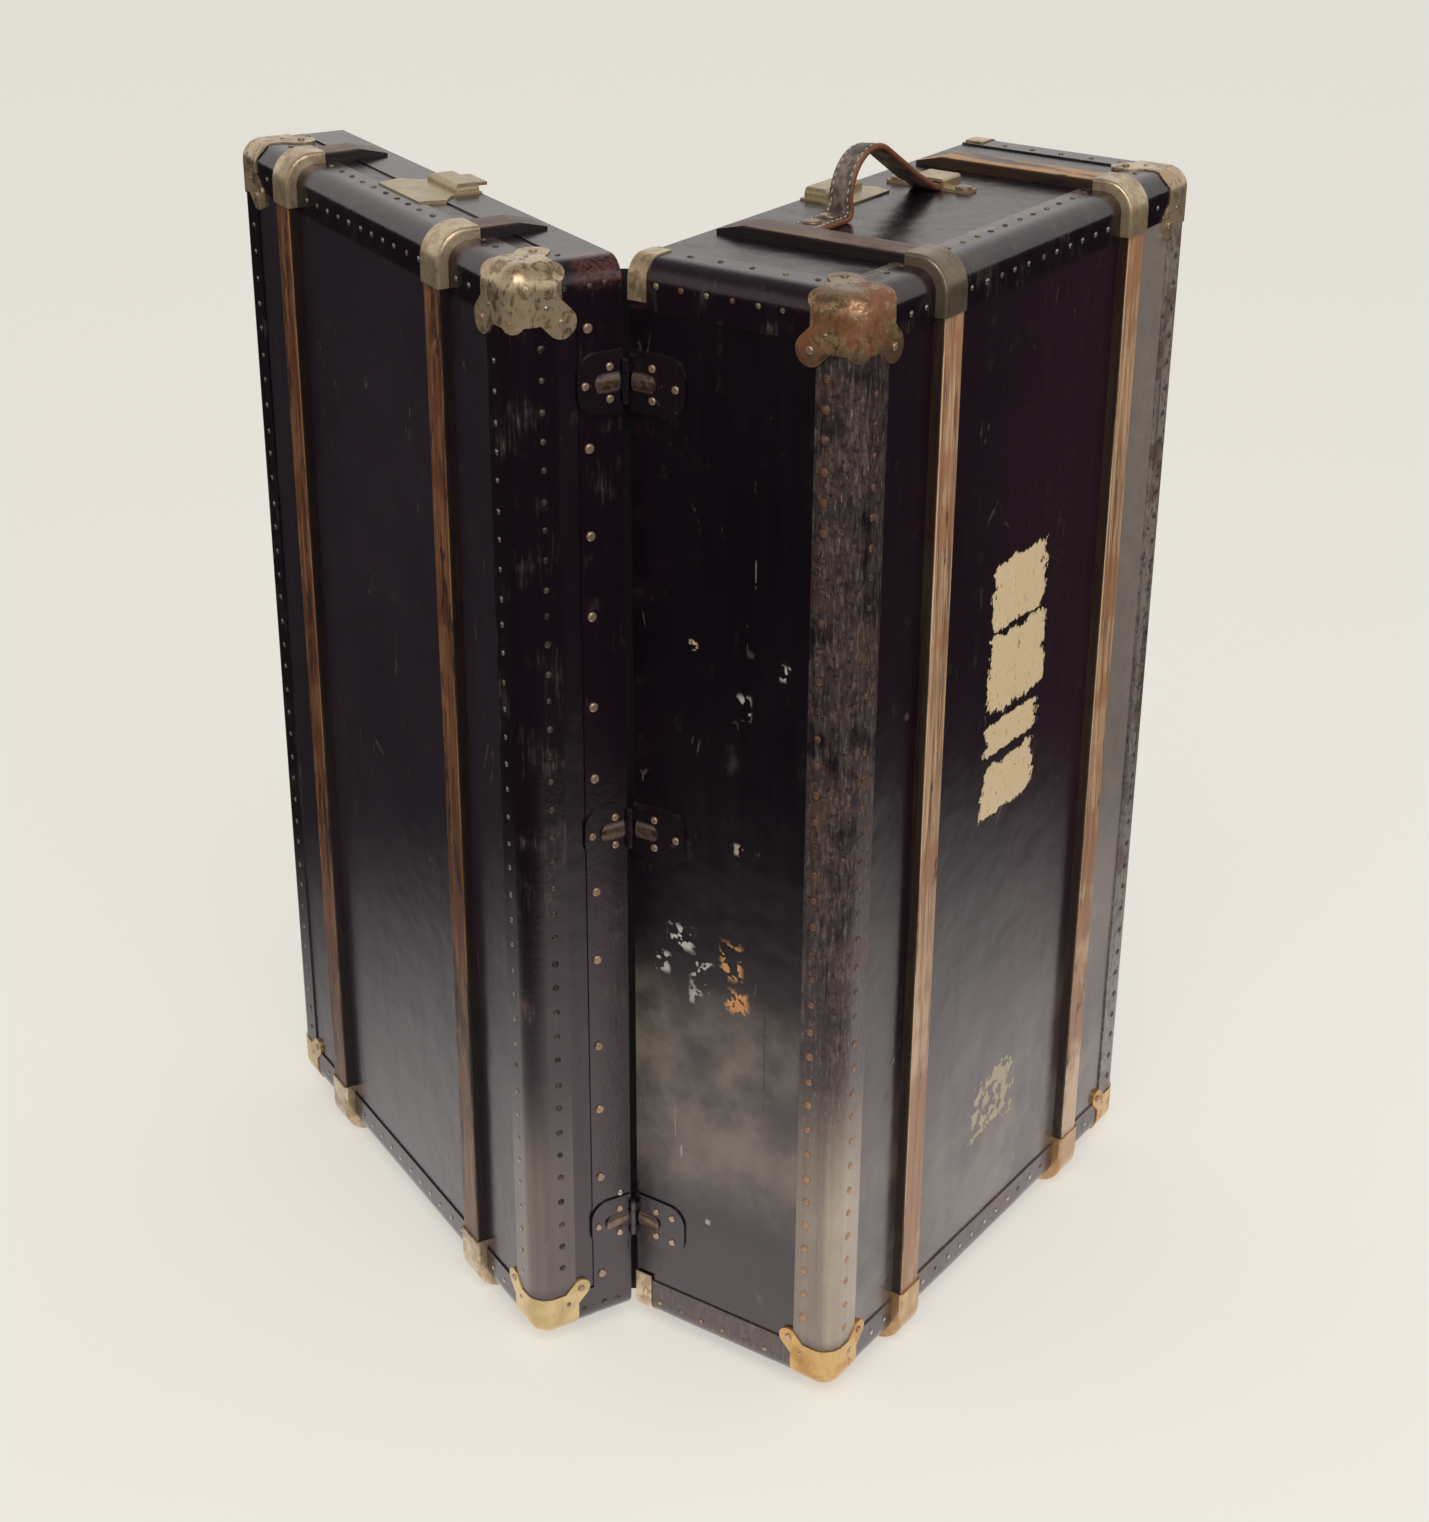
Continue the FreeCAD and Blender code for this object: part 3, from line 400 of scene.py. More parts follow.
def fibre(half, name, wear, tone=FIBRE):
    """Black vulcanised fibre that wears to a grey brown, first on the bend and its cut edge; the
    worn kind has painted floor reflection low down.
    """
    s = Shade("%s_fibre_%s" % (half, name), half, **VARNISH)
    base = half == "base"
    lumps = s.noise(38, 4, 0.6)
    fine = s.noise(3.2, 4, 0.6)
    streaks = s.noise((2.6, 2.6, 26), 4, 0.65)
    smears = s.noise((2.4, 2.4, 11), 4, 0.65)
    folds = s.noise((7, 7, 300), 3, 0.6)
    worn = s.add(s.weighed((lumps, 0.6), (streaks, 0.4)), wear)
    spotted = s.step(worn, 0.54, 0.64)
    colour = s.mix(s.step(worn, 0.48, 0.66), BLACK, tone)
    colour = s.tint(colour, FIBRE_BROWN, s.step(worn, 0.56, 0.70), s.step(lumps, 0.50, 0.62), 0.7)
    colour = s.tint(colour, FIBRE_SPOT, spotted, s.step(smears, 0.50, 0.62), 0.75)
    colour = s.tint(colour, BLACK, spotted, s.step(s.noise(5, 4, 0.65), 0.45, 0.38), 0.7)
    # Pale gouges on the worn fibre, partly real marks and partly painted glints.
    gouges_and_glints = s.step(s.noise((1.6, 1.6, 8), 4, 0.7), 0.645, 0.67)
    colour = s.tint(colour, GOUGE_AND_GLINT, gouges_and_glints, s.step(worn, 0.58, 0.66), 0.85)
    cut_edge = s.times(s.near(s.x, FACES[half] - CUT_EDGE, CUT_EDGE_REACH),
                       s.step(s.facing(Z), 0.8, 0.95))
    frayed = s.step(s.weighed((fine, 0.6), (lumps, 0.4)), 0.42, 0.54)
    colour = s.tint(colour, FRAYED, cut_edge, frayed, 0.8 if base else 0.3)
    if not base:
        corner = s.times(s.near(s.x, *CORNER_X), s.near(s.z, *CORNER_Z), s.near(s.y, *CORNER_Y))
        colour = s.tint(colour, RUBBED_RED, corner, s.step(fine, 0.35, 0.6), 0.7)
    colour = s.tint(colour, BLACK, s.step(folds, 0.50, 0.66), 0.45)
    # Low on the worn bindings, a painted reflection of the pale floor, weaker on faces that look
    # along y.
    if name == "worn":
        low = s.times(s.step(s.z, *SHEEN_FROM[half]), s.step(s.z, *FOOT_CAP_TOP))
        lit = s.spread(s.weighed((folds, 0.6), (lumps, 0.4)), 1.5, 0.35)
        off_side = s.spread(s.step(s.facing(Y), 0.85, 0.98), 1.0, 0.6)
        colour = s.tint(colour, FIBRE_SHEEN, low, lit, 0.9 if base else 0.3, off_side)
    rough = s.spread(s.step(worn, 0.5, 0.7), 0.18, 0.36)
    return s.finish(colour, rough, s.relief(s.weighed((fine, 0.25), (lumps, 1.2)), 0.35))


# ---------------------------------------------------------------- metal

# Bright metal, its tarnish and its rust.
BRASS = ((0.70, 0.55, 0.36), (0.46, 0.325, 0.205), (0.115, 0.060, 0.033))
BROWNED = ((0.60, 0.42, 0.24), (0.27, 0.135, 0.066), (0.185, 0.060, 0.024))
NICKEL = ((0.72, 0.57, 0.38), (0.42, 0.305, 0.195), (0.13, 0.07, 0.045))
YELLOW = ((0.70, 0.52, 0.27), (0.58, 0.42, 0.20), (0.30, 0.15, 0.05))
ORANGE = ((0.66, 0.43, 0.18), (0.54, 0.28, 0.09), (0.44, 0.15, 0.03))
PALE_BRASS = ((0.52, 0.42, 0.26), (0.40, 0.31, 0.18), (0.20, 0.12, 0.06))
COPPER = ((0.58, 0.42, 0.30), (0.34, 0.21, 0.14), (0.13, 0.06, 0.035))
STEEL = ((0.60, 0.46, 0.28), (0.40, 0.27, 0.15), (0.15, 0.06, 0.03))
DARK_STEEL = ((0.10, 0.075, 0.068), (0.05, 0.034, 0.030), (0.08, 0.04, 0.03))
STAIN = (0.130, 0.078, 0.046)
# The noise value where rust starts on a metal with none to speak of.
RUST_FROM = 0.66
DARK_CLAMP = (0.135, 0.108, 0.084)
NEAR_CLAMP_Y = (MIDDLE, MIDDLE - 40)
TOP_CLAMP_Z = (258, TOP - 100)
RUSTY_FOOT = (0.50, 0.27, 0.11)
FOOT_CLAMP_Z = (120, 60)
DUSTY_CAP = (0.300, 0.255, 0.185)
DARK_LOBE = (0.120, 0.068, 0.042)
LOBE_Z = (TOP - 28, TOP - 42)
DULL_STUD = (0.17, 0.125, 0.090)
STUD_Z = (TOP + 1, TOP + 3)
HINGE_PAINT = (0.0085, 0.0045, 0.0075)
BARE_RIB = (0.24, 0.165, 0.125)
RIB_X = (4.0, 6.0)
RIB_HEIGHT = (0.2, 1.6)
# Colours of a nail's two kinds, the share of the first kind, and how metallic it is.
NAILS = {
    "silvery": ((0.56, 0.51, 0.46), (0.16, 0.095, 0.070), 0.60, 1.0),
    "rusty": ((0.165, 0.078, 0.052), (0.052, 0.030, 0.026), 0.5, 0.35),
    "mixed": ((0.42, 0.31, 0.22), (0.115, 0.060, 0.042), 0.5, 0.8),
    "dull": ((0.13, 0.085, 0.070), (0.024, 0.016, 0.016), 0.5, 0.6),
}
ORANGE_RUST = (0.60, 0.335, 0.185)
ORANGE_RUST_Z = (460, 180)
LOCK_SIDE_NAIL = (0.085, 0.068, 0.062)
LOCK_SIDE_Y = (MIDDLE, MIDDLE + 40)
NAIL_GRIME = (0.10, 0.05, 0.03)


def aged_metal(name, half, metals, rust_amount, soft=0.06, stain=0.0, layer=None):
    """Plated steel: patches of tarnish, rubbed streaks, stains, and rust that starts as spots."""
    s = Shade(name, half)
    bright, tarnish, rust = metals
    lumps = s.noise(20, 5, 0.60)
    spots = s.noise(2.4, 4, 0.65)
    rubbed = s.noise((1.6, 1.6, 26), 3, 0.6)
    dull = s.step(lumps, 0.40, 0.62)
    colour = s.mix(dull, bright, tarnish)
    colour = s.tint(colour, tuple(0.6 * c for c in tarnish), s.step(rubbed, 0.50, 0.72), 0.25)
    if stain:
        smears = s.weighed((s.noise(12, 5, 0.6, 1.2), 0.85), (rubbed, 0.15))
        colour = s.tint(colour, STAIN, s.step(smears, 0.50, 0.60), stain)
    if layer:
        colour = layer(s, colour, lumps, spots)
    rusty = s.weighed((s.noise(26, 4, 0.6), 0.7), (spots, 0.3))
    rusty = s.step(rusty, RUST_FROM - rust_amount, RUST_FROM - rust_amount + soft)
    colour = s.tint(colour, rust, rusty, 0.9)
    metal = s.times(s.spread(dull, 0.80, 0.55), s.spread(rusty, 1.0, 0.3))
    rough = s.calc("MAXIMUM", s.spread(s.noise(12, 3), 0.20, 0.38), s.times(rusty, 0.5))
    height = s.weighed((rusty, 0.4), (lumps, 0.8), (spots, 0.4))
    return s.finish(colour, rough, s.relief(height, 0.25), metal)


def clamp_wear(s, colour, lumps, spots):
    """On the base the near top clamp is dark, and the feet are rusty."""
    near_top = s.times(s.step(s.y, *NEAR_CLAMP_Y), s.step(s.z, *TOP_CLAMP_Z))
    colour = s.tint(colour, DARK_CLAMP, near_top, s.spread(lumps, 0.6, 1.0))
    return s.tint(colour, RUSTY_FOOT, s.step(s.z, *FOOT_CLAMP_Z), s.spread(lumps, 0.3, 1.0))


def cap_wear(s, colour, lumps, spots):
    """On the base the caps have dust on the end, and are dark on the lobes down the sides."""
    on_end = s.step(s.facing(Z), 0.7, 0.9)
    colour = s.tint(colour, DUSTY_CAP, on_end, s.spread(lumps, 0.3, 0.9))
    return s.tint(colour, DARK_LOBE, s.step(s.z, *LOBE_Z), s.spread(spots, 0.3, 1.0))


def stud_wear(s, colour, lumps, spots):
    """The handle's studs, on the base's end, are duller than its other rivets."""
    return s.tint(colour, DULL_STUD, s.step(s.z, *STUD_Z), s.spread(s.noise(3, 3), 0.5, 1.0))


def hinge_metal(half):
    """A leaf painted black, with the paint worn off its pressed rib but not off its knuckles."""
    s = Shade("%s_hinge_metal" % half, half, **VARNISH)
    seat = BACK - HINGE_LEAF - (BAND if half == "lid" else 0)
    proud = s.step(s.calc("SUBTRACT", seat, s.y), *RIB_HEIGHT)
    rib = s.times(proud, s.step(s.x, *RIB_X), s.step(s.noise(9, 2), 0.30, 0.58))
    flaked = s.times(s.step(s.noise(8, 4, 0.65), 0.66, 0.74), 0.5)
    bare = s.calc("MAXIMUM", rib, flaked)
    colour = s.mix(bare, HINGE_PAINT, BARE_RIB)
    rough = s.spread(s.noise(5, 3), 0.14, 0.26)
    return s.finish(colour, rough, s.relief(s.noise(5, 2), 0.10), s.times(bare, 0.9))


def nail_metal(half, kind):
    """Small nail heads: each takes its own shade from where it is."""
    first, second, share, metal = NAILS[kind]
    s = Shade("%s_%s_nails" % (half, kind), half)
    each = s.noise(13, 1)
    fine = s.noise(1.2, 2)
    other = s.step(each, share - 0.05, share + 0.05)
    colour = s.mix(other, first, second)
    if (half, kind) == ("base", "rusty"):
        low = s.step(s.z, *ORANGE_RUST_Z)
        colour = s.tint(colour, ORANGE_RUST, low, s.spread(each, 0.5, 1.0))
        colour = s.tint(colour, LOCK_SIDE_NAIL, s.step(s.y, *LOCK_SIDE_Y))
    colour = s.tint(colour, NAIL_GRIME, s.step(fine, 0.5, 0.7), 0.4)
    rough = s.spread(fine, 0.26, 0.5)
    return s.finish(colour, rough, s.relief(fine, 0.12), s.spread(other, metal, metal * 0.35))


# ---------------------------------------------------------------- wood, leather, cloth and paper

# The wood in its pores, its plain colour and its pale grain.
WOODS = {"base": ((0.160, 0.080, 0.045), (0.50, 0.295, 0.170), (0.68, 0.470, 0.29)),
         "lid": ((0.050, 0.018, 0.010), (0.19, 0.076, 0.034), (0.36, 0.165, 0.070)),
         "end": ((0.036, 0.019, 0.014), (0.125, 0.066, 0.043), (0.28, 0.165, 0.098))}
# Sizes of the grain, of the patches and of the flakes, for a slat along that axis.
GRAINS = {"z": ((6, 6, 190), (20, 20, 110), (4, 4, 16)),
          "x": ((150, 6, 6), (80, 18, 18), (16, 4, 4))}
DARK_STRETCH = (0.62, 0.45, 0.38)
# Tone of the painted reflection of the pale floor low on the base's slats, and where it starts and
# is full along z.
SLAT_SHEEN = (0.74, 0.54, 0.37)
SLAT_SHEEN_Z = (420, 120)
ORANGE_WOOD = (0.50, 0.25, 0.085)
ORANGE_WOOD_Y = (MIDDLE, MIDDLE + 60)
BLACK_PAINT = (0.026, 0.013, 0.011)
PAINTED_SIDE = (0.008, 0.004, 0.005)
LEATHER = ((0.045, 0.030, 0.026), (0.25, 0.185, 0.150))
LEATHER_EDGE = (0.20, 0.062, 0.026)
LEATHER_EDGE_FROM = (11.0, 11.8)
LINEN = ((0.42, 0.36, 0.28), (0.62, 0.56, 0.46))
JOINT_CLOTH = ((0.006, 0.004, 0.005), (0.016, 0.011, 0.011))
PAPER = ((0.52, 0.43, 0.30), (0.64, 0.56, 0.43))
FOXING = (0.34, 0.22, 0.12)
PAPER_WEAVE = (0.40, 0.31, 0.20)
SOFTWOOD = ((0.30, 0.19, 0.10), (0.50, 0.36, 0.21))
# Turns of the weave, in radians per millimetre.
CLOTH_THREADS = 5.0
PAPER_THREADS = 2.6


def wood(name, half, along, left_over, woods):
    """A varnished hardwood slat: worn on top, with black paint left on its sides and in patches; on
    the base, painted floor reflection low down.
    """
    s = Shade(name, half, IOR=1.5)
    deep, plain, pale = WOODS[woods]
    grain_size, patch_size, flake_size = GRAINS[along]
    grain = s.noise(grain_size, 6, 0.62, 0.6)
    fine = s.noise(tuple(size / 4 for size in grain_size), 3, 0.6)
    patches = s.noise(patch_size, 4, 0.62)
    flakes = s.noise(flake_size, 5, 0.7)
    stretches = s.noise(60, 3)
    colour = s.mix(s.step(grain, 0.36, 0.62), deep, plain)
    colour = s.tint(colour, pale, s.step(fine, 0.46, 0.66), 0.6)
    darker = tuple(c * share for c, share in zip(plain, DARK_STRETCH))
    colour = s.tint(colour, darker, s.step(stretches, 0.46, 0.60), 0.7)
    if woods == "base":
        # Painted reflection of the pale floor, low on the base's slats.
        low = s.step(s.z, *SLAT_SHEEN_Z)
        colour = s.tint(colour, SLAT_SHEEN, low, s.step(stretches, 0.58, 0.44), 0.6)
    if woods == "end" and half == "base":
        far = s.step(s.y, *ORANGE_WOOD_Y)
        colour = s.tint(colour, ORANGE_WOOD, far, s.step(patches, 0.42, 0.52), 0.9)
    left = s.step(s.add(s.times(s.add(patches, flakes), 0.5), left_over), 0.54, 0.60)
    colour = s.tint(colour, BLACK_PAINT, left, 0.85)
    aside = s.facing(Y)
    colour = s.tint(colour, PAINTED_SIDE, s.step(aside, 0.45, 0.8), 0.94)
    edge = s.times(s.step(aside, 0.12, 0.35), s.step(aside, 0.85, 0.5), s.step(patches, 0.60, 0.44))
    colour = s.tint(colour, pale, edge, 0.75)
    rough = s.spread(patches, 0.26, 0.50)
    return s.finish(colour, rough, s.relief(s.add(grain, s.times(flakes, 0.6)), 0.4))


def leather():
    """Brown strap leather, grey with wear on the top and red brown on its cut edges."""
    s = Shade("handle_leather", "base", IOR=1.45)
    lumps = s.noise(12, 4, 0.6)
    colour = s.mix(s.step(lumps, 0.35, 0.68), *LEATHER)
    edge = s.step(s.away(s.x, HANDLE_X), *LEATHER_EDGE_FROM)
    colour = s.tint(colour, LEATHER_EDGE, edge)
    height = s.weighed((s.cells(1.1, "F1"), -0.5), (lumps, 0.8))
    return s.finish(colour, s.spread(lumps, 0.40, 0.64), s.relief(height, 0.35))


def thread():
    """Linen thread of the handle's stitches."""
    s = Shade("linen_thread", "base")
    twist = s.noise(0.7, 2)
    colour = s.mix(s.step(twist, 0.3, 0.7), *LINEN)
    return s.finish(colour, s.spread(twist, 0.7, 0.9), s.relief(twist, 0.2))


def woven(s, threads, first, second):
    """The height of a plain weave whose threads run along two axes."""
    return s.times(*(s.calc("SINE", s.times(along, threads)) for along in (first, second)))


def cloth():
    """Black lining cloth glued along the joint."""
    s = Shade("joint_cloth", "base", Sheen_Weight=0.2, Sheen_Roughness=0.5)
    weave = woven(s, CLOTH_THREADS, s.z, s.x)
    colour = s.mix(s.noise(20, 3), *JOINT_CLOTH)
    return s.finish(colour, s.spread(weave, 0.85, 0.95), s.relief(weave, 0.12))


def paper(half):
    """Plain lining paper, browned and stained with age, with a faint woven ground."""
    s = Shade("%s_lining_paper" % half, half)
    stains = s.noise(130, 5, 0.6)
    weave = woven(s, PAPER_THREADS, s.z, s.add(s.x, s.y))
    colour = s.mix(s.step(stains, 0.3, 0.7), *PAPER)
    colour = s.tint(colour, FOXING, s.step(s.noise(9, 4, 0.7), 0.64, 0.74), 0.4)
    colour = s.tint(colour, PAPER_WEAVE, s.step(weave, 0.0, 0.9), 0.12)
    height = s.add(weave, s.noise(5, 3))
    return s.finish(colour, s.spread(stains, 0.72, 0.9), s.relief(height, 0.12))


def softwood():
    """The bare wood of the tongue round the base's rim."""
    s = Shade("tongue_wood", "base")
    grain = s.noise((6, 30, 120), 5, 0.6, 0.5)
    colour = s.mix(s.step(grain, 0.35, 0.68), *SOFTWOOD)
    return s.finish(colour, s.spread(grain, 0.5, 0.68), s.relief(grain, 0.3))


# ---------------------------------------------------------------- dressing the CAD

# Fibre wear, wear of the back fibre and paint left on the slats: more is more worn, or more left.
WEAR = {"base": (-0.02, 0.16, -0.035), "lid": (-0.05, -0.04, 0.025)}
# Metals, rust, softness of the rust's edge and stain of the top caps.
CAPS = {"base": (BROWNED, 0.18, 0.12, 0.8, cap_wear), "lid": (BRASS, 0.03, 0.06, 0.75, None)}
FOOT_CAPS = {"base": (ORANGE, 0.08), "lid": (YELLOW, -0.02)}


def dressings(half):
    """The materials of one half, each under the kind of piece that it is for."""
    plain, worn, left_over = WEAR[half]
    on_base = half == "base"
    made = {
        "shell": board(half),
        "lining": paper(half),
        "fibre": fibre(half, "plain", plain),
        "worn_fibre": fibre(half, "worn", worn),
        "slat": wood("%s_slat_wood" % half, half, "z", left_over, half),
        "end_slat": wood("%s_end_slat_wood" % half, half, "x", -0.01, "end"),
        "cap": aged_metal("%s_cap_metal" % half, half, *CAPS[half]),
        "foot_cap": aged_metal("%s_foot_cap_metal" % half, half, *FOOT_CAPS[half]),
        "clamp": aged_metal("%s_clamp_metal" % half, half, NICKEL, 0.03, stain=0.3,
                            layer=clamp_wear if on_base else None),
        "catch": aged_metal("%s_catch_brass" % half, half, PALE_BRASS, -0.02),
        "rivet": aged_metal("%s_rivet_copper" % half, half, COPPER, 0.0,
                            layer=stud_wear if on_base else None),
        "hinge": hinge_metal(half),
    }
    made.update((kind, nail_metal(half, kind)) for kind in NAILS)
    return made


materials = {half: dressings(half) for half in HALVES}
iron_metal = aged_metal("rim_iron_metal", "base", BRASS, 0.10, stain=0.5)
# Nodes with a material of their own.
OWN = {
    "base_front_binding": fibre("base", "greyed", 0.26, GREYED_FIBRE),
    "base_bottom_binding": materials["base"]["worn_fibre"],
    "base_rim_irons": iron_metal,
    "base_top_front_cap": iron_metal,
    "base_tongue": softwood(),
    "handle_loop": aged_metal("handle_metal", "base", STEEL, 0.06),
    "hinge_pins": aged_metal("pin_steel", "base", DARK_STEEL, 0.05),
}
# The kind of each other node, from the end of its name: the first that fits.
ENDINGS = (
    ("shell", "shell"), ("lining", "lining"), ("back_binding", "worn_fibre"), ("binding", "fibre"),
    ("rim_band", "fibre"), ("bottom_back_cap", "foot_cap"), ("bottom_front_cap", "foot_cap"),
    ("cap", "cap"), ("face_slat", "slat"), ("_slat", "end_slat"), ("clamps", "clamp"),
    ("hinge_leaf", "hinge"), ("rivets", "rivet"), ("", "catch"),
)
LID_NODES = ("hasp_plate", "catch_plates", "hasp", "lower_catch", "upper_catch")


def dress(node):
    """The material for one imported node."""
    if node in OWN:
        return OWN[node]
    half = "lid" if node.startswith("lid") or node in LID_NODES else "base"
    return materials[half][next(kind for ending, kind in ENDINGS if node.endswith(ending))]


for name, node in frame["nodes"].items():
    node.data.materials.clear()
    node.data.materials.append(dress(name))


# ---------------------------------------------------------------- nails

# How far a nail may stray along its row, how far its head may lean, how its size varies, and how
# high its head is for its radius.
STRAY = 1.2
LEAN = 0.06
SIZES = (0.88, 1.1)
DOME = 0.42
DOME_SIDES = 10
DOME_RINGS = 3
CORNER_GAP = 62
# The rows down the upright bindings: how far in from the corner, the kind of nail and its radius,
# and how far each row is shifted up.
UPRIGHT_START = BOTTOM + 60
UPRIGHT_PITCH = 22.6
SIDE_ROWS = {"base": (26.0, "rusty", 3.5), "lid": (23.0, "dull", 2.9)}
SIDE_SHIFT = 5
BROAD_ROWS = {"base": (19.0, "rusty", 2.9), "lid": (24.5, "silvery", 2.3)}
BROAD_SHIFT = -6
# The rows round an end: below it on the side and on the broad face, and on the end itself along the
# hinge side and along the broad face, which keep clear of the slats.
SIDE_DROP, SIDE_PITCH, SIDE_RADIUS = 16, 22.5, 2.4
SIDE_STARTS = {"base": 26.0, "lid": BAND_WIDTH + 10}
SIDE_KINDS = {"base": "mixed", "lid": "dull"}
BROAD_DROP, BROAD_PITCH, BROAD_RADIUS, BROAD_GAP = 22, 21.5, 2.3, 5
RIM_INSET, RIM_PITCH, RIM_SHIFT = 25, 24, 10
END_INSET, END_SHIFT, END_RADIUS, END_GAP = 24, 7, 2.5, 4
BAND_NAIL = (14.0, BACK - BAND, TOP - 15)
CAP_RIVET, CAP_RADIUS = 27.5, 2.0
ODD_TACK, ODD_RADIUS = (RIM + 9.5, BACK - BAND, BOTTOM + 122), 3.2


def scene_object(name, mesh, material):
    """A new object in the scene from a finished bmesh."""
    data = bpy.data.meshes.new(name)
    mesh.to_mesh(data)
    mesh.free()
    data.materials.append(material)
    made = bpy.data.objects.new(name, data)
    bpy.context.scene.collection.objects.link(made)
    return made


def piece(name, mesh, half, material):
    """A smooth piece drawn in the shut trunk's millimetres, put in place on its half."""
    mesh.transform(PLACE[half])
    if half == "lid":
        bmesh.ops.reverse_faces(mesh, faces=mesh.faces)
    made = scene_object(name, mesh, material)
    made.data.shade_smooth()
    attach(made, half)
    return made


def skin(mesh, rings):
    """Joins closed rings of vertices, each to the next, with four-sided faces."""
    count = len(rings[0])
    for low, high in zip(rings, rings[1:]):
        for i in range(count):
            j = (i + 1) % count
            mesh.faces.new((low[i], low[j], high[j], high[i]))


def dome(mesh, centre, normal, radius, height):
    """Adds a low domed nail head to a mesh."""
    centre = Vector(centre)
    normal = Vector(normal).normalized()
    side = normal.orthogonal().normalized()
    up = normal.cross(side)
    rings = []
    for r in range(DOME_RINGS):
        angle = math.pi / 2 * r / DOME_RINGS
        ring = []
        for i in range(DOME_SIDES):
            turn = 2 * math.pi * i / DOME_SIDES
            out = (side * math.cos(turn) + up * math.sin(turn)) * radius * math.cos(angle)
            ring.append(mesh.verts.new(centre + out + normal * height * math.sin(angle)))
        rings.append(ring)
    tip = mesh.verts.new(centre + normal * height)
    mesh.faces.new(list(reversed(rings[0])))
    skin(mesh, rings)
    for i in range(DOME_SIDES):
        mesh.faces.new((rings[-1][i], rings[-1][(i + 1) % DOME_SIDES], tip))


def spaced(start, stop, pitch):
    """Places from start to stop at about that pitch, a little uneven as nails driven by hand."""
    count = max(1, round((stop - start) / pitch))
    step = (stop - start) / count
    return [start + step * i + random.uniform(-STRAY, STRAY) for i in range(count + 1)]


def nails(name, half, kind, radius, spots):
    """One row or group of nails, each a little tilted and of its own size."""
    mesh = bmesh.new()
    for centre, normal in spots:
        lean = Vector([random.uniform(-LEAN, LEAN) for _ in range(3)])
        dome(mesh, centre, Vector(normal) + lean, radius * random.uniform(*SIZES), radius * DOME)
    piece(name, mesh, half, materials[half][kind])


def both_sides(spots):
    """Spots on the hinge side, and their twins on the lock side."""
    return spots + [((x, BACK + FRONT - y, z), (nx, -ny, nz)) for (x, y, z), (nx, ny, nz) in spots]


def both_ends(spots):
    """Spots near the top end, and their twins near the bottom end."""
    return spots + [((x, y, BOTTOM + TOP - z), (nx, ny, -nz)) for (x, y, z), (nx, ny, nz) in spots]


def clear_of_slats(y, gap):
    """Whether a place is more than that gap from both slats."""
    return min(abs(y - centre) for centre in SLAT_CENTRES) > SLAT_WIDTH / 2 + gap


def upright_nails(half):
    """The two rows down each upright binding: on the side and on the broad face."""
    side_row, side_kind, side_radius = SIDE_ROWS[half]
    broad_row, broad_kind, broad_radius = BROAD_ROWS[half]
    heights = spaced(UPRIGHT_START, TOP - CORNER_GAP, UPRIGHT_PITCH)
    side = [((FACES[half] - side_row, BACK - BINDING, z + SIDE_SHIFT), TO_BACK) for z in heights]
    broad = [((FACES[half] + BINDING, BACK + broad_row, z + BROAD_SHIFT), X) for z in heights]
    nails("%s_side_nails" % half, half, side_kind, side_radius, both_sides(side))
    nails("%s_broad_nails" % half, half, broad_kind, broad_radius, both_sides(broad))


def end_nails(half):
    """The rows round both ends: on the faces below the edge, and on the end itself."""
    face, start, stop = FACES[half], SIDE_STARTS[half], FACES[half] - CORNER_GAP
    side = [((x, BACK - BINDING, TOP - SIDE_DROP), TO_BACK)
            for x in spaced(start, stop, SIDE_PITCH)]
    if half == "lid":
        side.insert(0, (BAND_NAIL, TO_BACK))
    rim = [((x, BACK + RIM_INSET, TOP + BINDING), Z)
           for x in spaced(start + RIM_SHIFT, stop + RIM_SHIFT, RIM_PITCH)]
    places = [y for y in spaced(BACK + CORNER_GAP, FRONT - CORNER_GAP, BROAD_PITCH)
              if clear_of_slats(y, BROAD_GAP)]
    broad = [((face + BINDING, y, TOP - BROAD_DROP), X) for y in places]
    end = [((face - END_INSET, y, TOP + BINDING), Z)
           for y in (place + END_SHIFT for place in places) if clear_of_slats(y, END_GAP)]
    nails("%s_end_side_nails" % half, half, SIDE_KINDS[half], SIDE_RADIUS,
          both_ends(both_sides(side)))
    nails("%s_end_broad_nails" % half, half, "silvery", BROAD_RADIUS, both_ends(broad))
    nails("%s_end_nails" % half, half, "mixed", END_RADIUS,
          both_ends(both_sides(rim)) + both_ends(end))


def cap_nails(half):
    """A second, smaller rivet inside each lobe of the corner caps."""
    face = FACES[half]
    proud = BINDING + CAP_METAL
    spots = [((face - CAP_RIVET, BACK - proud, TOP - CAP_RIVET), TO_BACK),
             ((face + proud, BACK + CAP_RIVET, TOP - CAP_RIVET), X),
             ((face - CAP_RIVET, BACK + CAP_RIVET, TOP + proud), Z)]
    nails("%s_cap_nails" % half, half, "silvery", CAP_RADIUS, both_ends(both_sides(spots)))


for half in HALVES:
    upright_nails(half)
    end_nails(half)
    cap_nails(half)
nails("odd_tack", "lid", "silvery", ODD_RADIUS, [(ODD_TACK, TO_BACK)])


# ---------------------------------------------------------------- joint cloth

JOINT_RADIUS = 15.6
CLOTH = 0.5
CLOTH_INSET = 10.5
CLOTH_LEVELS = 60
BEND_STEPS = 16
TAB_STEP = 3.5
TAB_STEPS = 4


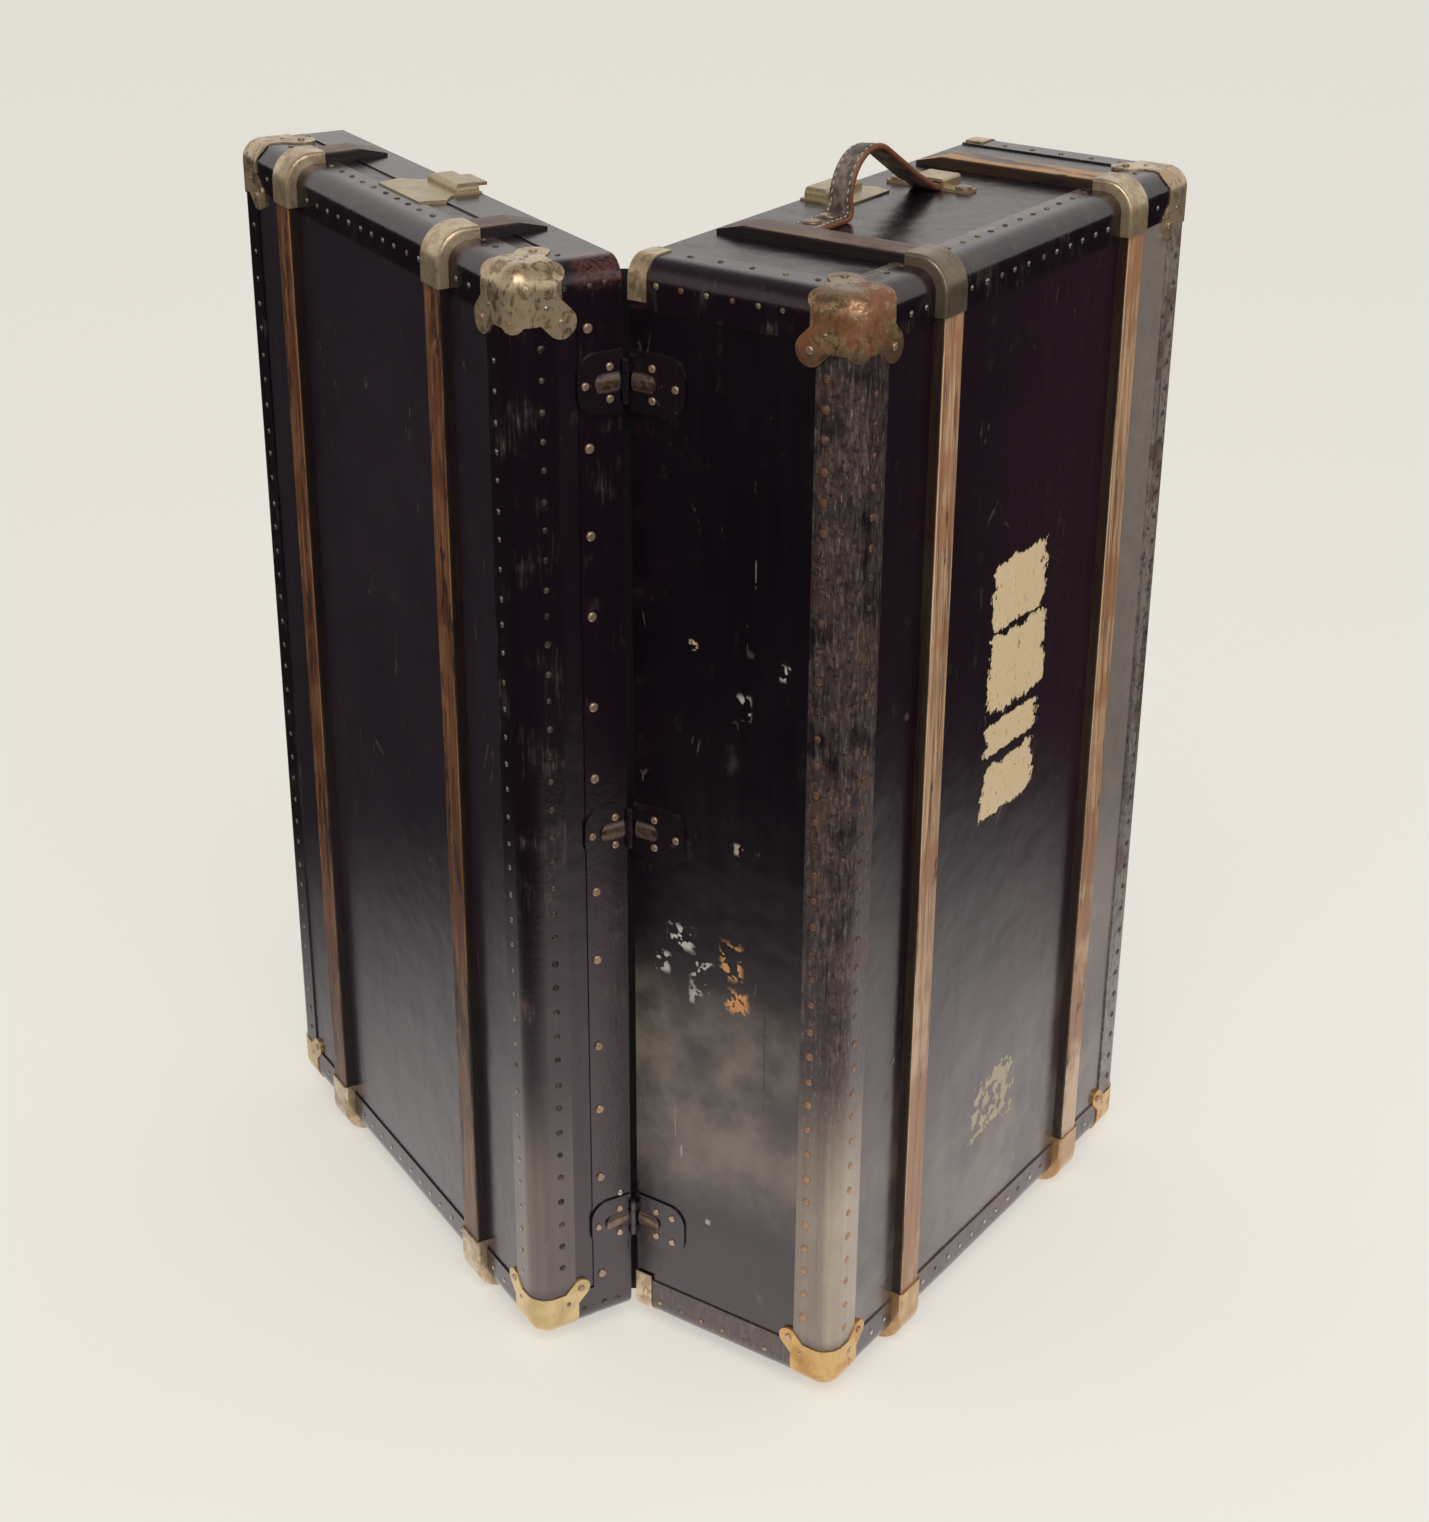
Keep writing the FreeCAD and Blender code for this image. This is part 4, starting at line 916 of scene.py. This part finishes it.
def joint_path():
    """The cloth seen from above: a tab glued in each half, and a bend round the hinge axis."""
    lean = math.atan2(RIM, JOINT_RADIUS)
    turns = [math.pi / 2 - lean + (OPEN_ANGLE + 2 * lean) * i / BEND_STEPS
             for i in range(BEND_STEPS + 1)]
    bend = [Vector((math.cos(turn), math.sin(turn))) * JOINT_RADIUS for turn in turns]
    away = Vector((-math.cos(OPEN_ANGLE), -math.sin(OPEN_ANGLE)))
    reaches = [TAB_STEP * i for i in range(1, TAB_STEPS + 1)]
    base_tab = [bend[0] + Vector((reach, 0)) for reach in reversed(reaches)]
    lid_tab = [bend[-1] + away * reach for reach in reaches]
    return base_tab + bend + lid_tab, (bend[0], bend[-1])


def joint_cloth():
    """A strip of lining cloth inside the joint of the halves, so no light shows between them."""
    path, bend_ends = joint_path()
    sides = [(after - before).normalized()
             for before, after in zip(path[:1] + path, path[1:] + path[-1:])]
    mesh = bmesh.new()
    levels = [BOTTOM + CLOTH_INSET + (LENGTH - 2 * CLOTH_INSET) * i / CLOTH_LEVELS
              for i in range(CLOTH_LEVELS + 1)]
    inner, outer = (
        [[mesh.verts.new((*(point + Vector((side.y, -side.x)) * grow), z))
          for point, side in zip(path, sides)] for z in levels]
        for grow in (0.0, CLOTH))
    last_row, last_point = CLOTH_LEVELS, len(path) - 1
    for r in range(last_row):
        for c in range(last_point):
            mesh.faces.new((inner[r][c], inner[r][c + 1], inner[r + 1][c + 1], inner[r + 1][c]))
            mesh.faces.new((outer[r][c], outer[r + 1][c], outer[r + 1][c + 1], outer[r][c + 1]))
        for c in (0, last_point):
            mesh.faces.new((inner[r][c], inner[r + 1][c], outer[r + 1][c], outer[r][c]))
    for c in range(last_point):
        for r in (0, last_row):
            mesh.faces.new((inner[r][c], outer[r][c], outer[r][c + 1], inner[r][c + 1]))
    bmesh.ops.recalc_face_normals(mesh, faces=mesh.faces)
    mesh.transform(PLACE["base"])
    made = scene_object("joint_cloth", mesh, cloth())
    made.data.shade_smooth()
    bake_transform(made)


joint_cloth()


# ---------------------------------------------------------------- handle

HANDLE_START = BACK + 131.0
HANDLE_WIDTH = 24.5
HANDLE_THICKNESS = 5.0
HANDLE_HEIGHT = 53.0
HANDLE_BEND = 8.0
HANDLE_CROWN = 34.0
HANDLE_RISE = math.radians(86)
HANDLE_FALL = math.radians(31)
BACK_FOOT = 46.5
FRONT_FOOT = 15.0
# Above its feet the strap leans across and hangs lower on one edge: from this height, over this
# much more, to these full amounts.
SLACK_FROM = 3
SLACK_OVER = 14
SKEW = 4.2
SAG = 2.16
# Where a row of stitches runs, as a share of the half width.
STITCH_ROW = 0.74
# Half of the strap's top from its edge to the middle, as shares of the half width and how far each
# lies below the full thickness: a rounded edge, and a groove for the stitches. Then the whole
# underside in the same way, and how far its edges bulge.
STRAP_TOP = ((1.0, 0.9), (0.9, 0.25), (0.8, 0.0), (STITCH_ROW, 0.45), (0.68, 0.0), (0.5, 0.0))
STRAP_UNDER = ((1.0, 0.8), (0.9, 0.1), (0.3, 0.1), (-0.3, 0.1), (-0.9, 0.1), (-1.0, 0.8))
STRAP_BULGE = 0.15
STRAP_STEP = 2.0
# The strap's line in short steps, and in such steps: the first stitch from one end, the last from
# the other, from stitch to stitch, and the length of one.
STITCH_STEP = 0.5
STITCH_START, STITCH_STOP = 8, 14
STITCH_PITCH = 12
STITCH_STEPS = 7
STITCH_SLANT = 0.25
STITCH_SUNK = 0.25
STITCH_RADIUS = 0.62
STITCH_SIDES = 6
# The swelling of a stitch: how far along it, and the share of its full radius.
STITCH_SWELL = ((0.0, 0.25), (0.15, 0.75), (0.5, 1.0), (0.85, 0.75), (1.0, 0.25))


def handle_line(step):
    """Points of the strap's middle line, each with its heading, at about that step."""
    crest = HANDLE_HEIGHT - HANDLE_THICKNESS
    curve = HANDLE_BEND + HANDLE_CROWN
    rise, fall = ((crest - curve * (1 - math.cos(lean))) / math.sin(lean)
                  for lean in (HANDLE_RISE, HANDLE_FALL))
    # Straights as (length, 0) and bends as (radius, turn).
    moves = [(BACK_FOOT, 0), (HANDLE_BEND, HANDLE_RISE), (rise, 0),
             (HANDLE_CROWN, -HANDLE_RISE - HANDLE_FALL), (fall, 0), (HANDLE_BEND, HANDLE_FALL),
             (FRONT_FOOT, 0)]
    y, z, heading = HANDLE_START, TOP + HANDLE_THICKNESS / 2, 0.0
    points = [(y, z, heading)]
    for size, turn in moves:
        length = size if turn == 0 else size * abs(turn)
        count = max(2, round(length / step))
        for _ in range(count):
            part = turn / count
            chord = length / count if turn == 0 else 2 * size * math.sin(abs(part) / 2)
            y += chord * math.cos(heading + part / 2)
            z += chord * math.sin(heading + part / 2)
            heading += part
            points.append((y, z, heading))
    return points


def strap_point(line, across, lift):
    """A point on the strap: across its width from the middle, and lifted off its middle line."""
    y, z, heading = line
    high = min(1.0, max(0.0, (z - TOP - SLACK_FROM) / SLACK_OVER))
    share = across / (HANDLE_WIDTH / 2)
    y += -share * SKEW * high - math.sin(heading) * lift
    z += (share - 1) * SAG * high * high + math.cos(heading) * lift
    return Vector((HANDLE_X + across, y, z))


def close_tube(mesh, rings):
    """Joins rings of vertices into a tube with closed ends."""
    skin(mesh, rings)
    mesh.faces.new(rings[0])
    mesh.faces.new(list(reversed(rings[-1])))


def strap():
    """The handle strap, with rounded edges and a groove along each row of stitches."""
    wide = HANDLE_WIDTH / 2
    thick = HANDLE_THICKNESS / 2
    top = [(-share, drop) for share, drop in STRAP_TOP] + [(0.0, 0.0)] + list(reversed(STRAP_TOP))
    profile = [(share * wide, thick - drop) for share, drop in top]
    profile.append((wide + STRAP_BULGE, 0.0))
    profile += [(share * wide, -thick + rise) for share, rise in STRAP_UNDER]
    profile.append((-wide - STRAP_BULGE, 0.0))
    mesh = bmesh.new()
    close_tube(mesh, [[mesh.verts.new(strap_point(line, x, z)) for x, z in profile]
                      for line in handle_line(STRAP_STEP)])
    bmesh.ops.recalc_face_normals(mesh, faces=mesh.faces)
    return mesh


def stitches():
    """Two rows of short slanted stitches along the strap."""
    mesh = bmesh.new()
    line = handle_line(STITCH_STEP)
    across = Vector(X)
    lift = HANDLE_THICKNESS / 2 - STITCH_SUNK
    angles = [2 * math.pi * n / STITCH_SIDES for n in range(STITCH_SIDES)]
    for row in (-1, 1):
        middle = row * HANDLE_WIDTH / 2 * STITCH_ROW
        for i in range(STITCH_START, len(line) - STITCH_STOP, STITCH_PITCH):
            start = strap_point(line[i], middle - STITCH_SLANT, lift)
            end = strap_point(line[i + STITCH_STEPS], middle + STITCH_SLANT, lift)
            side = (end - start).normalized().cross(across).normalized()
            rings = []
            for t, swell in STITCH_SWELL:
                centre = start.lerp(end, t)
                radius = STITCH_RADIUS * swell
                rings.append([mesh.verts.new(
                    centre + (across * math.cos(a) + side * math.sin(a)) * radius) for a in angles])
            close_tube(mesh, rings)
    bmesh.ops.recalc_face_normals(mesh, faces=mesh.faces)
    return mesh


strap_piece = piece("handle_strap_leather", strap(), "base", leather())
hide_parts("handle_strap")
piece("handle_stitches", stitches(), "base", thread())


# ---------------------------------------------------------------- studio

FLOOR_SIZE = 40.0
FLOOR_TONES = ((0.84, 0.815, 0.76), (0.74, 0.715, 0.66))
FLOOR_LIGHT = (1.0, 0.965, 0.885)
GLOW = (1.0, 0.97, 0.93)
# The floor's glow in gloss: its centre, and in metres where it starts and is full.
GLOW_CENTRE = (0.20, 0.06, 0.0)
GLOW_REACH = (1.15, 0.30)
AIR = (1.0, 0.98, 0.94)
# The air's strength as light, and as seen. In gloss it falls from the horizon to the zenith, and is
# half as strong from the near side as from behind the trunk.
AIR_STRENGTH = (0.62, 0.78)
GLOSS_HEIGHT = (0.44, 0.80)
GLOSS_STRENGTH = (0.78, 0.20)
BEHIND = (-0.57, 0.82, 0.0)
BEHIND_REACH = (0.0, 0.80)
BEHIND_STRENGTH = (0.50, 1.0)
# Area lamps: name, place, size, power and colour. Both aim at the middle of the trunk.
LAMPS = (
    ("key", (1.2, -1.5, 3.2), (2.4, 1.6), 38, (1.0, 0.97, 0.92)),
    ("fill", (2.8, -1.2, 1.8), (1.8, 2.2), 14, (0.95, 0.97, 1.0)),
)
LAMP_AIM = Vector((0, 0, 0.5))
# The photograph's viewpoint, solved from the trunk's square corners; its place is from the hinge.
CAMERA_PLACE = Vector((1075.5, -1436.4, 1386.1))
CAMERA_HEADING = math.radians(34.72)
CAMERA_TILT = math.radians(25.45)
CAMERA_ROLL = math.radians(0.37)
CAMERA_LENS = 60.85


def ground():
    """Pale ground, lifted a little to the eye, that shows in gloss as a glow round the trunk."""
    s = Shade("pale_ground", Roughness=0.9)
    s.finish(s.mix(s.times(s.noise(400, 2), 0.1), *FLOOR_TONES))
    rays = s.node("ShaderNodeLightPath").outputs
    seen = s.node("ShaderNodeEmission")
    s.feed(seen.inputs["Color"], FLOOR_LIGHT)
    distance = s.node("ShaderNodeVectorMath", operation="DISTANCE")
    s.feed(distance.inputs[0], s.object)
    distance.inputs[1].default_value = GLOW_CENTRE
    glow = s.node("ShaderNodeEmission")
    s.feed(glow.inputs["Color"], GLOW)
    near_trunk = s.step(distance.outputs["Value"], *GLOW_REACH)
    s.feed(glow.inputs["Strength"], s.spread(near_trunk, 0.02, 1.0))
    shader = s.bsdf
    to_eye = s.times(rays["Is Camera Ray"], 0.50)
    for share, light in ((to_eye, seen), (rays["Is Glossy Ray"], glow)):
        mixed = s.node("ShaderNodeMixShader")
        for socket, value in zip(mixed.inputs, (share, shader.outputs[0], light.outputs[0])):
            s.feed(socket, value)
        shader = mixed
    s.feed(s.out.inputs["Surface"], shader.outputs[0])
    return s.material


def floor():
    mesh = bmesh.new()
    bmesh.ops.create_grid(mesh, x_segments=8, y_segments=8, size=FLOOR_SIZE)
    scene_object("floor", mesh, ground())


def world():
    """Pale air all round: soft light, white to the eye and through glass, and dimmer in gloss."""
    made = bpy.data.worlds.new("studio")
    bpy.context.scene.world = made
    made.use_nodes = True
    w = Nodes(made.node_tree)
    background = w.tree.nodes["Background"]
    w.feed(background.inputs["Color"], AIR)
    rays = w.node("ShaderNodeLightPath").outputs
    seen = w.calc("MAXIMUM", rays["Is Camera Ray"], rays["Is Transmission Ray"])
    towards = w.node("ShaderNodeTexCoord").outputs["Generated"]
    split = w.node("ShaderNodeSeparateXYZ")
    w.feed(split.inputs[0], towards)
    high = w.map_range(split.outputs["Z"], GLOSS_HEIGHT, GLOSS_STRENGTH, "SMOOTHSTEP")
    behind = w.map_range(w.dot(towards, BEHIND), BEHIND_REACH, BEHIND_STRENGTH, "SMOOTHSTEP")
    strength = w.node("ShaderNodeMix")
    w.feed(strength.inputs["Factor"], rays["Is Glossy Ray"])
    w.feed(strength.inputs[2], w.spread(seen, *AIR_STRENGTH))
    w.feed(strength.inputs[3], w.times(high, behind))
    w.feed(background.inputs["Strength"], strength.outputs[0])


def lamp(name, place, size, power, colour):
    data = bpy.data.lights.new(name, "AREA")
    data.shape = "RECTANGLE"
    data.size, data.size_y = size
    data.energy = power
    data.color = colour
    made = bpy.data.objects.new(name, data)
    made.location = place
    made.rotation_euler = (LAMP_AIM - Vector(place)).to_track_quat("-Z", "Y").to_euler()
    bpy.context.scene.collection.objects.link(made)


def camera():
    data = bpy.data.cameras.new("camera")
    data.lens = CAMERA_LENS
    data.sensor_width = 36.0
    data.clip_end = 120.0
    made = bpy.data.objects.new("camera", data)
    bpy.context.scene.collection.objects.link(made)
    turn = (Matrix.Rotation(CAMERA_HEADING, 4, "Z")
            @ Matrix.Rotation(math.pi / 2 - CAMERA_TILT, 4, "X")
            @ Matrix.Rotation(CAMERA_ROLL, 4, "Z"))
    made.matrix_world = Matrix.Translation(HINGE + CAMERA_PLACE * MM) @ turn
    bpy.context.scene.camera = made


floor()
world()
camera()
for settings in LAMPS:
    lamp(*settings)
bpy.context.scene.view_settings.view_transform = "Standard"
